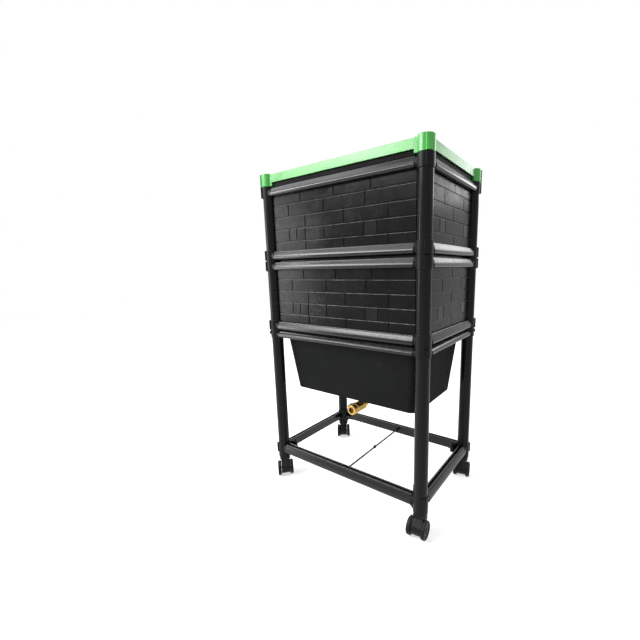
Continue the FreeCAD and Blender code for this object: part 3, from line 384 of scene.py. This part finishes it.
def brick_tones_effect():
    """Pale patches of painted sheen at the left of a front panel, standing for a reflection, and
    the short bricks' own finish.
    """
    sheet, given, result = effect(
        "Brick tones", [("Place", "Vector", None)],
        [("Pale", "Float"), ("Square", "Float"), ("Smooth", "Float")],
    )
    low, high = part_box("lower_panel_front")
    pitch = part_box("upper_panel_front")[0][2] - low[2]
    row = (high[2] - low[2]) / BRICK_ROWS
    parts = sheet.add("SeparateXYZ")
    sheet.feed(parts.inputs[0], given["Place"])
    x, y, z = parts.outputs
    level = sheet.math("MODULO", sheet.math("SUBTRACT", z, low[2]), pitch)
    front = sheet.math("LESS_THAN", y, high[1] + 0.001)
    side = sheet.math("GREATER_THAN", sheet.math("ABSOLUTE", x), high[0] - 0.008)
    short_row = sheet.between(level, row, 2 * row)
    smooth = sheet.both(sheet.both(front, short_row), sheet.between(x, *SMOOTH_BRICK))
    at_front = sheet.both(front, sheet.between(x, *PALE_BRICK))
    at_side = sheet.math("ADD", *(sheet.between(y, *span) for span in PALE_SIDE_BRICKS))
    square = sheet.math("MULTIPLY_ADD", sheet.both(side, at_side), 3.5, at_front)
    square = sheet.both(square, short_row)
    across, upwards = (
        sheet.math("MULTIPLY", sheet.math("SUBTRACT", value, middle), fade)
        for value, middle, fade in zip((x, level), PATCH_MIDDLE, PATCH_FADE)
    )
    away = sheet.math("ADD", sheet.both(across, across), sheet.both(upwards, upwards))
    cloud = sheet.noise(given["Place"], 55.0, 7.0, 0.78, 1.4)
    # Painted reflection: a pale sheen that fades out from the patch's middle, broken into clouds
    pale = sheet.both(sheet.remap(away, 0.05, 1.3, 1.0, 0.0), sheet.remap(cloud, 0.44, 0.60))
    pale = sheet.both(sheet.both(pale, front), sheet.math("SUBTRACT", 1.0, smooth))
    sheet.feed(result["Pale"], pale)
    sheet.feed(result["Square"], square)
    sheet.feed(result["Smooth"], smooth)
    return sheet.tree


EFFECTS = {}


def effects():
    """The shared effects, made once."""
    if not EFFECTS:
        EFFECTS.update(
            edges=rounded_edge_effect(), grain=moulded_grain_effect(), lines=drawn_lines_effect(),
            scuffs=scuff_effect(), dust=dust_effect(), bricks=brick_tones_effect(),
        )
    return EFFECTS


def mixed(tint, scale=1.0, lift=0.0):
    """A colour as shader values, scaled and lifted."""
    return (*(min(1.0, part * scale + lift) for part in tint), 1.0)


def plastic(name, tint, roughness=0.34, grain=1000.0, grain_height=0.00002, lines=0.0,
            specular=0.15, uneven=0.10, scuffed=0.5, edge=None, dust_and_sheen_share=1.0, bricks=False):
    """A moulded or extruded plastic, with drawn lines or brick tones where asked for."""
    made = effects()
    looks = bpy.context.scene.wormery_plastics
    material = bpy.data.materials.new(name)
    material.use_nodes = True
    sheet = Sheet(material.node_tree)
    skin = sheet.nodes["Principled BSDF"]
    place = sheet.add("TexCoord").outputs["Object"]
    edges = sheet.group(made["edges"], place=place, radius=edge or looks.edge_round)
    texture = sheet.group(made["grain"], place=place, scale=grain)
    marks = sheet.group(made["scuffs"], place=place)
    dust = sheet.group(made["dust"], place=place, amount=looks.dust * dust_and_sheen_share)["Mask"]
    tone = texture["Tone"]
    height = sheet.math("MULTIPLY", texture["Height"], grain_height)
    rough = sheet.remap(tone, 0.0, 1.0, roughness - uneven / 2, roughness + uneven / 2)
    if lines:
        drawn = sheet.group(made["lines"], place=place)
        height = sheet.math("MULTIPLY_ADD", drawn["Height"], lines, height)
        rough = sheet.math("ADD", rough, sheet.remap(drawn["Tone"], 0.0, 1.0, -0.05, 0.05))
    scratches = sheet.math("MULTIPLY", marks["Scratches"], scuffed)
    patches = sheet.math("MULTIPLY", marks["Patches"], scuffed)
    height = sheet.math("MULTIPLY_ADD", scratches, -0.00004, height)
    rough = sheet.math("MULTIPLY_ADD", patches, 0.16, rough)
    rough = sheet.math("MULTIPLY_ADD", dust, 0.5, rough, clamp=True)
    base = sheet.blend(tone, mixed(tint, 0.86), mixed(tint, 1.16))
    # Painted edge highlight, partly edge wear: bent edges are made paler in patches, as if they
    # caught the light
    base = sheet.blend(sheet.math("MULTIPLY", edges["Mask"], 0.35), base, mixed(tint, 1.5, 0.02))
    base = sheet.blend(sheet.math("MULTIPLY", scratches, 0.35), base, mixed(tint, 1.4, 0.05))
    # Dust greys faces that look up; on brick panels its far larger share paints pale lines on the
    # bed joints' upward ledges, partly dust and partly a painted highlight of light from above
    base = sheet.blend(dust, base, DUST_AND_SHEEN_GREY)
    if bricks:
        tones = sheet.group(made["bricks"], place=place)
        # Painted sheen: the front panels' pale patches stand for a reflection, and the short square
        # bricks are lightened too
        lightening = sheet.math("MULTIPLY", tones["Pale"], 0.32)
        lightening = sheet.math("MULTIPLY_ADD", tones["Square"], 0.10, lightening)
        base = sheet.blend(lightening, base, PALE_BRICK_TINT)
        rough = sheet.math("MULTIPLY_ADD", tones["Smooth"], -0.08, rough)
        rough = sheet.math("MULTIPLY_ADD", tones["Square"], -0.02, rough)
        rough = sheet.math("MULTIPLY_ADD", tones["Pale"], 0.10, rough, clamp=True)
    bump = sheet.add("Bump")
    bump.inputs["Distance"].default_value = 1.0
    bump.inputs["Strength"].default_value = 1.0
    sheet.feed(bump.inputs["Height"], height)
    sheet.feed(bump.inputs["Normal"], edges["Normal"])
    sheet.feed(skin.inputs["Base Color"], base)
    sheet.feed(skin.inputs["Roughness"], rough)
    sheet.feed(skin.inputs["Normal"], bump.outputs[0])
    skin.inputs["Specular IOR Level"].default_value = specular
    return material


def metal(name, tint, roughness, tarnish, grain_height=0.00003, stain=BRASS_STAIN):
    """A cast, turned or plated metal."""
    made = effects()
    material = bpy.data.materials.new(name)
    material.use_nodes = True
    sheet = Sheet(material.node_tree)
    skin = sheet.nodes["Principled BSDF"]
    place = sheet.add("TexCoord").outputs["Object"]
    edges = sheet.group(made["edges"], place=place, radius=0.0006)
    texture = sheet.group(made["grain"], place=place, scale=700.0, flow_scale=60.0)
    marks = sheet.group(made["scuffs"], place=place, scale=3.0)
    dull = sheet.math("MULTIPLY", marks["Patches"], tarnish, clamp=True)
    base = sheet.blend(texture["Tone"], mixed(tint, 0.9), mixed(tint, 1.08))
    base = sheet.blend(dull, base, (*stain, 1.0))
    # Painted edge highlight, partly edge wear: bent edges are made paler in patches, as if they
    # caught the light
    base = sheet.blend(sheet.math("MULTIPLY", edges["Mask"], 0.5), base, mixed(tint, 1.25, 0.03))
    rough = sheet.remap(texture["Tone"], 0.0, 1.0, roughness - 0.06, roughness + 0.06)
    rough = sheet.math("MULTIPLY_ADD", dull, 0.4, rough, clamp=True)
    height = sheet.math("MULTIPLY", texture["Height"], grain_height)
    height = sheet.math("MULTIPLY_ADD", marks["Scratches"], -0.00003, height)
    bump = sheet.add("Bump")
    bump.inputs["Distance"].default_value = 1.0
    sheet.feed(bump.inputs["Height"], height)
    sheet.feed(bump.inputs["Normal"], edges["Normal"])
    sheet.feed(skin.inputs["Base Color"], base)
    sheet.feed(skin.inputs["Roughness"], rough)
    sheet.feed(skin.inputs["Normal"], bump.outputs[0])
    skin.inputs["Metallic"].default_value = 1.0
    return material


def dress(material, *names):
    """Puts a finish on nodes of the frame, in the slots that they have."""
    for name in names:
        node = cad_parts[name]
        if not node.data.materials:
            node.data.materials.append(material)
        for index in range(len(node.data.materials)):
            node.data.materials[index] = material


# ---------------------------------------------------------------- modelling helpers


def clear_selection():
    """Nothing selected and nothing active, in object mode."""
    if bpy.context.object and bpy.context.object.mode != "OBJECT":
        bpy.ops.object.mode_set(mode="OBJECT")
    bpy.ops.object.select_all(action="DESELECT")


def settle(piece, name, body, material):
    """Ends a new piece: its place goes into its mesh, its faces outwards, and it rides its body."""
    bpy.ops.object.mode_set(mode="OBJECT")
    bpy.ops.object.transform_apply(location=True, rotation=True, scale=True)
    bpy.ops.object.mode_set(mode="EDIT")
    bpy.ops.mesh.select_all(action="SELECT")
    bpy.ops.mesh.remove_doubles(threshold=1e-6)
    bpy.ops.mesh.normals_make_consistent(inside=False)
    bpy.ops.object.mode_set(mode="OBJECT")
    bpy.ops.object.shade_smooth_by_angle(angle=math.radians(35))
    piece.name = name
    piece.data.name = name
    piece.data.materials.clear()
    piece.data.materials.append(material)
    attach(piece, body)
    piece.select_set(False)


def merged_copy(node_name):
    """A copy of a node of the frame with its loose triangles merged, left open in edit mode."""
    clear_selection()
    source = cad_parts[node_name]
    piece = bpy.data.objects.new(node_name + "_dressed", source.data.copy())
    bpy.context.scene.collection.objects.link(piece)
    piece.matrix_world = source.matrix_world
    piece.select_set(True)
    bpy.context.view_layer.objects.active = piece
    bpy.ops.object.mode_set(mode="EDIT")
    bpy.ops.mesh.select_all(action="SELECT")
    bpy.ops.mesh.remove_doubles(threshold=2e-6)
    bpy.ops.mesh.dissolve_limited(angle_limit=math.radians(0.5))
    return piece


def pick(piece, kind, test):
    """Selects only the faces, edges or vertices that pass a test, and says how many there are."""
    bpy.ops.mesh.select_all(action="DESELECT")
    bpy.ops.mesh.select_mode(type={"faces": "FACE", "edges": "EDGE", "verts": "VERT"}[kind])
    mesh = bmesh.from_edit_mesh(piece.data)
    found = 0
    for item in getattr(mesh, kind):
        if test(item):
            item.select_set(True)
            found += 1
    mesh.select_flush(True)
    bmesh.update_edit_mesh(piece.data)
    return found


# ---------------------------------------------------------------- operators


class WORMERY_OT_dress_frame(bpy.types.Operator):
    """Gives legs, posts, connectors and rails their black plastics"""

    bl_idname = "wormery.dress_frame"
    bl_label = "Dress the frame"

    def execute(self, context):
        looks = context.scene.wormery_plastics
        tube = plastic("Extruded tube", looks.tube, roughness=0.24, grain=700.0,
                       grain_height=0.000012, scuffed=0.45, specular=0.12)
        fitting = plastic("Moulded fitting", looks.fitting, roughness=0.34, grain=950.0,
                          grain_height=0.00003, scuffed=0.4, specular=0.12)
        dress(tube, *("leg_" + corner for corner in CORNERS), "lower_posts", "upper_posts")
        dress(fitting, "base_connectors", "top_ring_connectors", "tie_clip",
              *(f"{tier}_{end}_connectors" for tier in TIERS for end in ("foot", "head")))
        dress(plastic("Skirt plastic", looks.rail, roughness=0.5, grain=900.0, specular=0.04),
              "lid_skirt")
        dress(plastic("Coated rod", looks.rail, roughness=0.3, grain=1500.0), "tie_rod")
        return {"FINISHED"}


class WORMERY_OT_model_rails(bpy.types.Operator):
    """Gives each rail its deep shoulder with a soft lower edge, and foot rails a lip underneath"""

    bl_idname = "wormery.model_rails"
    bl_label = "Model the rails"

    def execute(self, context):
        looks = context.scene.wormery_plastics
        rail = plastic("Extruded rail", looks.rail, roughness=0.20, grain=800.0, uneven=0.04,
                       grain_height=0.000006, lines=0.000006, scuffed=0.25, specular=0.30)
        for tier in TIERS:
            body = "tier_" + tier
            below = "lower_head_rails" if tier == "upper" else "tank_tub"
            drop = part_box(tier + "_foot_rails")[0][2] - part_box(below)[1][2] - LIP_GAP
            self.model(tier + "_foot_rails", body, rail, looks.shoulder, drop)
            self.model(tier + "_head_rails", body, rail, looks.shoulder)
        self.model("base_rails_long", "stand", rail, looks.shoulder)
        self.model("base_rails_short", "stand", rail, looks.shoulder)
        self.model("top_ring_rails", "stand", rail, looks.ring_shoulder)
        return {"FINISHED"}

    def model(self, node_name, body, material, shoulder, lip=0.0):
        """Recuts the shoulder of the rails of one node, and draws out their lip."""
        low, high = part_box(node_name)
        piece = merged_copy(node_name)
        if piece.name != node_name + "_dressed":
            raise RuntimeError("the name of " + node_name + " is taken")
        for side in (0, 1):
            for sign in (-1.0, 1.0):
                face = (high if sign > 0 else low)[side]
                if abs(face) < OUTSIDE[side]:
                    continue
                self.cut_shoulder(piece, side, sign, face, high[2], shoulder)
                if lip:
                    self.draw_lip(piece, side, sign, face, low[2], lip)
        settle(piece, node_name + "_dressed", body, material)
        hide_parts(node_name)

    def cut_shoulder(self, piece, side, sign, face, top, shoulder):
        """Cuts the upper outer side along a slope and softens the slope's edges."""
        looks = bpy.context.scene.wormery_plastics
        pick(piece, "verts", lambda item: sign * item.co[side] > sign * face - RAIL_DEPTH)
        normal = [0.0, 0.0, SLOPE_RUN]
        normal[side] = sign * (shoulder - SLOPE_DROP)
        spot = [0.0, 0.0, top - shoulder]
        spot[side] = face
        bpy.ops.mesh.bisect(plane_co=spot, plane_no=Vector(normal).normalized(), use_fill=True,
                            clear_outer=True, threshold=1e-6)
        self.soften(piece, side, sign, top - shoulder, looks.shoulder_round, 8)
        self.soften(piece, side, sign, top, looks.top_round, 4)
        if piece.name.startswith("base"):
            for inset in TOP_SLOT:
                self.soften(piece, side, sign, top, looks.slot_round, 3, sign * face - inset)

    def soften(self, piece, side, sign, level, radius, segments, reach=None):
        """Rounds the outermost edges that lie level at one height, or those at a given reach."""
        if reach is None:
            mesh = bmesh.from_edit_mesh(piece.data)
            reach = max(sign * vert.co[side] for vert in mesh.verts
                        if abs(vert.co[2] - level) < ON_EDGE)

        def on_line(vert):
            aside, above = sign * vert.co[side] - reach, vert.co[2] - level
            return abs(aside) < ON_EDGE and abs(above) < ON_EDGE

        if not pick(piece, "edges", lambda item: all(on_line(vert) for vert in item.verts)):
            raise RuntimeError("no edge of the shoulder to soften on " + piece.name)
        bpy.ops.mesh.bevel(offset=radius, segments=segments, affect="EDGES")

    def draw_lip(self, piece, side, sign, face, foot, lip):
        """Draws a thin lip down from the underside of a rail."""
        reach = sign * face
        outer, inner = (reach - inset for inset in LIP)
        normal = [0.0, 0.0, 0.0]
        normal[side] = 1.0

        def under(item):
            middle = item.calc_center_median()
            return (item.normal.z < -0.99 and abs(middle.z - foot) < ON_UNDERSIDE
                    and sign * middle[side] > reach - RAIL_DEPTH)

        def strip(item):
            return under(item) and inner < sign * item.calc_center_median()[side] < outer

        for level in (inner, outer):
            pick(piece, "faces", under)
            spot = [0.0, 0.0, foot]
            spot[side] = sign * level
            bpy.ops.mesh.bisect(plane_co=spot, plane_no=normal, threshold=1e-6)
        if not pick(piece, "faces", strip):
            raise RuntimeError("no underside for the lip on " + piece.name)
        bpy.ops.mesh.extrude_region_move(TRANSFORM_OT_translate={"value": (0.0, 0.0, -lip)})


class WORMERY_OT_dress_tiers(bpy.types.Operator):
    """Gives the brick panels and worm floors their moulded plastic"""

    bl_idname = "wormery.dress_tiers"
    bl_label = "Dress the tiers"

    def execute(self, context):
        looks = context.scene.wormery_plastics
        # Brick panels take nine times the dust, which paints pale lines of light on the upward
        # ledges of their bed joints
        brick = plastic("Moulded brick panel", looks.brick, roughness=0.21, grain=520.0,
                        grain_height=0.00004, specular=0.09, scuffed=0.6, edge=0.0008,
                        dust_and_sheen_share=9.0, bricks=True)
        grid = plastic("Worm floor plastic", looks.tank, roughness=0.45, grain=700.0,
                       grain_height=0.00004)
        dress(brick, *(f"{tier}_panel_{side}" for tier in TIERS for side in SIDES))
        dress(grid, *(f"{tier}_worm_floor" for tier in TIERS))
        return {"FINISHED"}


class WORMERY_OT_dress_tank(bpy.types.Operator):
    """Gives the storage tank its grained plastic and the outlet its seals"""

    bl_idname = "wormery.dress_tank"
    bl_label = "Dress the tank"

    def execute(self, context):
        looks = context.scene.wormery_plastics
        dress(plastic("Tank plastic", mixed(looks.tank, 2.5)[:3], roughness=0.5, grain=480.0,
                      grain_height=0.00008, scuffed=0.7, specular=0.02), "tank_tub")
        dress(plastic("Seal rubber", looks.tank, roughness=0.62, grain=1600.0,
                      grain_height=0.00003, specular=0.3), "outlet_seals")
        return {"FINISHED"}


class WORMERY_OT_dress_lid(bpy.types.Operator):
    """Gives the lid and its corner caps their green plastic"""

    bl_idname = "wormery.dress_lid"
    bl_label = "Dress the lid"

    def execute(self, context):
        looks = context.scene.wormery_plastics
        dress(plastic("Green lid plastic", looks.lid, roughness=0.26, grain=900.0,
                      grain_height=0.00002, specular=0.5, scuffed=0.2, edge=0.0016, dust_and_sheen_share=0.4),
              "lid_panel")
        dress(plastic("Green cap plastic", looks.cap, roughness=0.28, grain=900.0,
                      grain_height=0.00002, specular=0.5, scuffed=0.3, edge=0.0014), "lid_caps")
        return {"FINISHED"}


class WORMERY_OT_dress_castors(bpy.types.Operator):
    """Gives the castors their plastics and plated pins"""

    bl_idname = "wormery.dress_castors"
    bl_label = "Dress the castors"

    def execute(self, context):
        looks = context.scene.wormery_plastics
        metals = context.scene.wormery_metals
        dress(plastic("Castor hood plastic", looks.fitting, roughness=0.3, grain=1100.0,
                      edge=0.001), *("castor_hood_" + corner for corner in CORNERS))
        dress(plastic("Castor wheel nylon", looks.tube, roughness=0.42, grain=1300.0,
                      grain_height=0.00003, scuffed=1.0, edge=0.001),
              *(f"castor_wheel_{half}_{corner}" for half in "ab" for corner in CORNERS))
        dress(metal("Plated pin steel", metals.steel, roughness=0.3, tarnish=0.2,
                    stain=STEEL_STAIN),
              "castor_stems", *("castor_axle_" + corner for corner in CORNERS))
        return {"FINISHED"}


class WORMERY_OT_dress_valve(bpy.types.Operator):
    """Gives the valve its brass, chrome and steel"""

    bl_idname = "wormery.dress_valve"
    bl_label = "Dress the valve"

    def execute(self, context):
        metals = context.scene.wormery_metals
        dress(metal("Cast brass", metals.brass, roughness=0.34, tarnish=0.45),
              "outlet_nut", "outlet_elbow", "valve_body")
        dress(metal("Lever brass", metals.lever, roughness=0.36, tarnish=0.3), "valve_handle")
        dress(metal("Polished chrome", metals.chrome, roughness=0.12, tarnish=0.05,
                    grain_height=0.000004, stain=CHROME_STAIN), "valve_ball")
        dress(metal("Plated valve steel", metals.steel, roughness=0.3, tarnish=0.15,
                    stain=STEEL_STAIN), "valve_stem", "valve_handle_nut")
        return {"FINISHED"}


class WORMERY_OT_studio(bpy.types.Operator):
    """Makes the pale floor, the soft lamps, the surroundings and the camera"""

    bl_idname = "wormery.studio"
    bl_label = "Set up the studio"

    def execute(self, context):
        studio = context.scene.wormery_studio
        self.floor(studio)
        self.surroundings(context.scene, studio)
        self.lamp("Front lamp", studio.front, (1.95, 0.60), (-1.80, -2.35, 2.32), (0.0, -0.2, 1.0))
        self.lamp("High lamp", studio.high, (1.95, 1.20), (-1.80, -2.00, 3.60), (0.0, -0.2, 1.0))
        self.lamp("Rear lamp", studio.rear, (1.95, 0.62), (0.57, 2.60, 1.85), (0.3, 0.0, 1.1))
        self.lamp("Top lamp", studio.top, (1.0, 2.1), (-1.75, -0.40, 3.00), (0.0, 0.0, 0.9))
        self.lamp("Side lamp", studio.side, (0.80, 1.40), (-2.50, -2.00, 0.98), (-0.2, -0.2, 0.8))
        self.lamp("Back lamp", studio.back, (1.90, 0.70), (-2.16, 2.40, 2.24), (0.0, -0.2, 0.1))
        self.camera(context.scene)
        return {"FINISHED"}

    def floor(self, studio):
        """A plain pale floor that keeps a faint shadow."""
        clear_selection()
        bpy.ops.mesh.primitive_plane_add(size=60.0, location=(0.0, 0.0, 0.0))
        floor = bpy.context.object
        floor.name = "floor"
        material = bpy.data.materials.new("Pale floor")
        material.use_nodes = True
        sheet = Sheet(material.node_tree)
        skin = sheet.nodes["Principled BSDF"]
        skin.inputs["Base Color"].default_value = (*studio.floor, 1.0)
        skin.inputs["Roughness"].default_value = 0.9
        skin.inputs["Specular IOR Level"].default_value = 0.1
        skin.inputs["Emission Color"].default_value = (1.0, 1.0, 1.0, 1.0)
        sheet.feed(skin.inputs["Emission Strength"],
                   sheet.math("MULTIPLY", self.seen(sheet), studio.lift))
        floor.data.materials.append(material)

    def seen(self, sheet):
        """One for the eye and for what gloss and glass show, nought for light."""
        ray = sheet.add("LightPath").outputs
        eye = sheet.math("MAXIMUM", ray["Is Camera Ray"], ray["Is Glossy Ray"])
        return sheet.math("MAXIMUM", eye, ray["Is Transmission Ray"])

    def surroundings(self, scene, studio):
        """White to the eye and in gloss, a plain level of light elsewhere."""
        world = bpy.data.worlds.new("Studio surroundings")
        world.use_nodes = True
        scene.world = world
        sheet = Sheet(world.node_tree)
        ground = sheet.nodes["Background"]
        ground.inputs["Color"].default_value = (1.0, 1.0, 1.0, 1.0)
        sheet.feed(ground.inputs["Strength"],
                   sheet.remap(self.seen(sheet), 0.0, 1.0, studio.sky, 1.0))

    def lamp(self, name, watts, size, place, target):
        """A soft lamp that points at a spot."""
        light = bpy.data.lights.new(name, "AREA")
        light.energy = watts
        light.shape = "RECTANGLE"
        light.size, light.size_y = size
        lamp = bpy.data.objects.new(name, light)
        bpy.context.scene.collection.objects.link(lamp)
        lamp.location = place
        aim = Vector(target) - Vector(place)
        lamp.rotation_euler = aim.to_track_quat("-Z", "Y").to_euler()
        lamp.visible_camera = False

    def camera(self, scene):
        """The photograph's view."""
        data = bpy.data.cameras.new("Camera")
        data.sensor_width = 36.0
        data.lens = data.sensor_width * FOCAL_LENGTH / FRAME_WIDTH
        data.shift_x = -(LENS_AXIS[0] - FRAME_WIDTH / 2) / FRAME_WIDTH
        data.shift_y = (LENS_AXIS[1] - FRAME_WIDTH / 2) / FRAME_WIDTH
        data.clip_start, data.clip_end = 0.05, 100.0
        camera = bpy.data.objects.new("Camera", data)
        scene.collection.objects.link(camera)
        flat = Vector((math.cos(CAMERA_TURN), math.sin(CAMERA_TURN), 0.0))
        onward = Vector((-math.sin(CAMERA_TURN), math.cos(CAMERA_TURN), 0.0))
        ahead = math.cos(CAMERA_DIP) * onward - Vector((0.0, 0.0, math.sin(CAMERA_DIP)))
        up = flat.cross(ahead)
        right = math.cos(CAMERA_ROLL) * flat + math.sin(CAMERA_ROLL) * up
        over = -math.sin(CAMERA_ROLL) * flat + math.cos(CAMERA_ROLL) * up
        facing = Matrix((right, over, -ahead)).transposed().to_4x4()
        camera.matrix_world = Matrix.Translation(CAMERA_PLACE) @ facing
        scene.camera = camera
        scene.view_settings.view_transform = "Standard"


class WORMERY_PT_looks(bpy.types.Panel):
    """Lists the wormery's steps, colours and sizes"""

    bl_idname = "WORMERY_PT_looks"
    bl_label = "Wormery"
    bl_space_type = "VIEW_3D"
    bl_region_type = "UI"
    bl_category = "Wormery"

    def draw(self, context):
        column = self.layout.column(align=True)
        for step in STEPS:
            column.operator(step.bl_idname)
        for name in GROUPS:
            box = self.layout.box()
            settings = getattr(context.scene, name)
            for key in settings.__annotations__:
                box.prop(settings, key)


STEPS = (
    WORMERY_OT_dress_frame,
    WORMERY_OT_model_rails,
    WORMERY_OT_dress_tiers,
    WORMERY_OT_dress_tank,
    WORMERY_OT_dress_lid,
    WORMERY_OT_dress_castors,
    WORMERY_OT_dress_valve,
    WORMERY_OT_studio,
)
GROUPS = {
    "wormery_plastics": WormeryPlastics,
    "wormery_metals": WormeryMetals,
    "wormery_studio": WormeryStudio,
}


def register():
    """Registers the settings, the steps and the panel."""
    for kind in (*GROUPS.values(), *STEPS, WORMERY_PT_looks):
        bpy.utils.register_class(kind)
    for name, kind in GROUPS.items():
        setattr(bpy.types.Scene, name, bpy.props.PointerProperty(type=kind))


def unregister():
    """Takes them away again."""
    for name in GROUPS:
        delattr(bpy.types.Scene, name)
    for kind in (WORMERY_PT_looks, *reversed(STEPS), *GROUPS.values()):
        bpy.utils.unregister_class(kind)


def main():
    """Runs every step."""
    register()
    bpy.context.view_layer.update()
    bpy.ops.wormery.dress_frame()
    bpy.ops.wormery.model_rails()
    bpy.ops.wormery.dress_tiers()
    bpy.ops.wormery.dress_tank()
    bpy.ops.wormery.dress_lid()
    bpy.ops.wormery.dress_castors()
    bpy.ops.wormery.dress_valve()
    bpy.ops.wormery.studio()


if __name__ == "__main__":
    main()
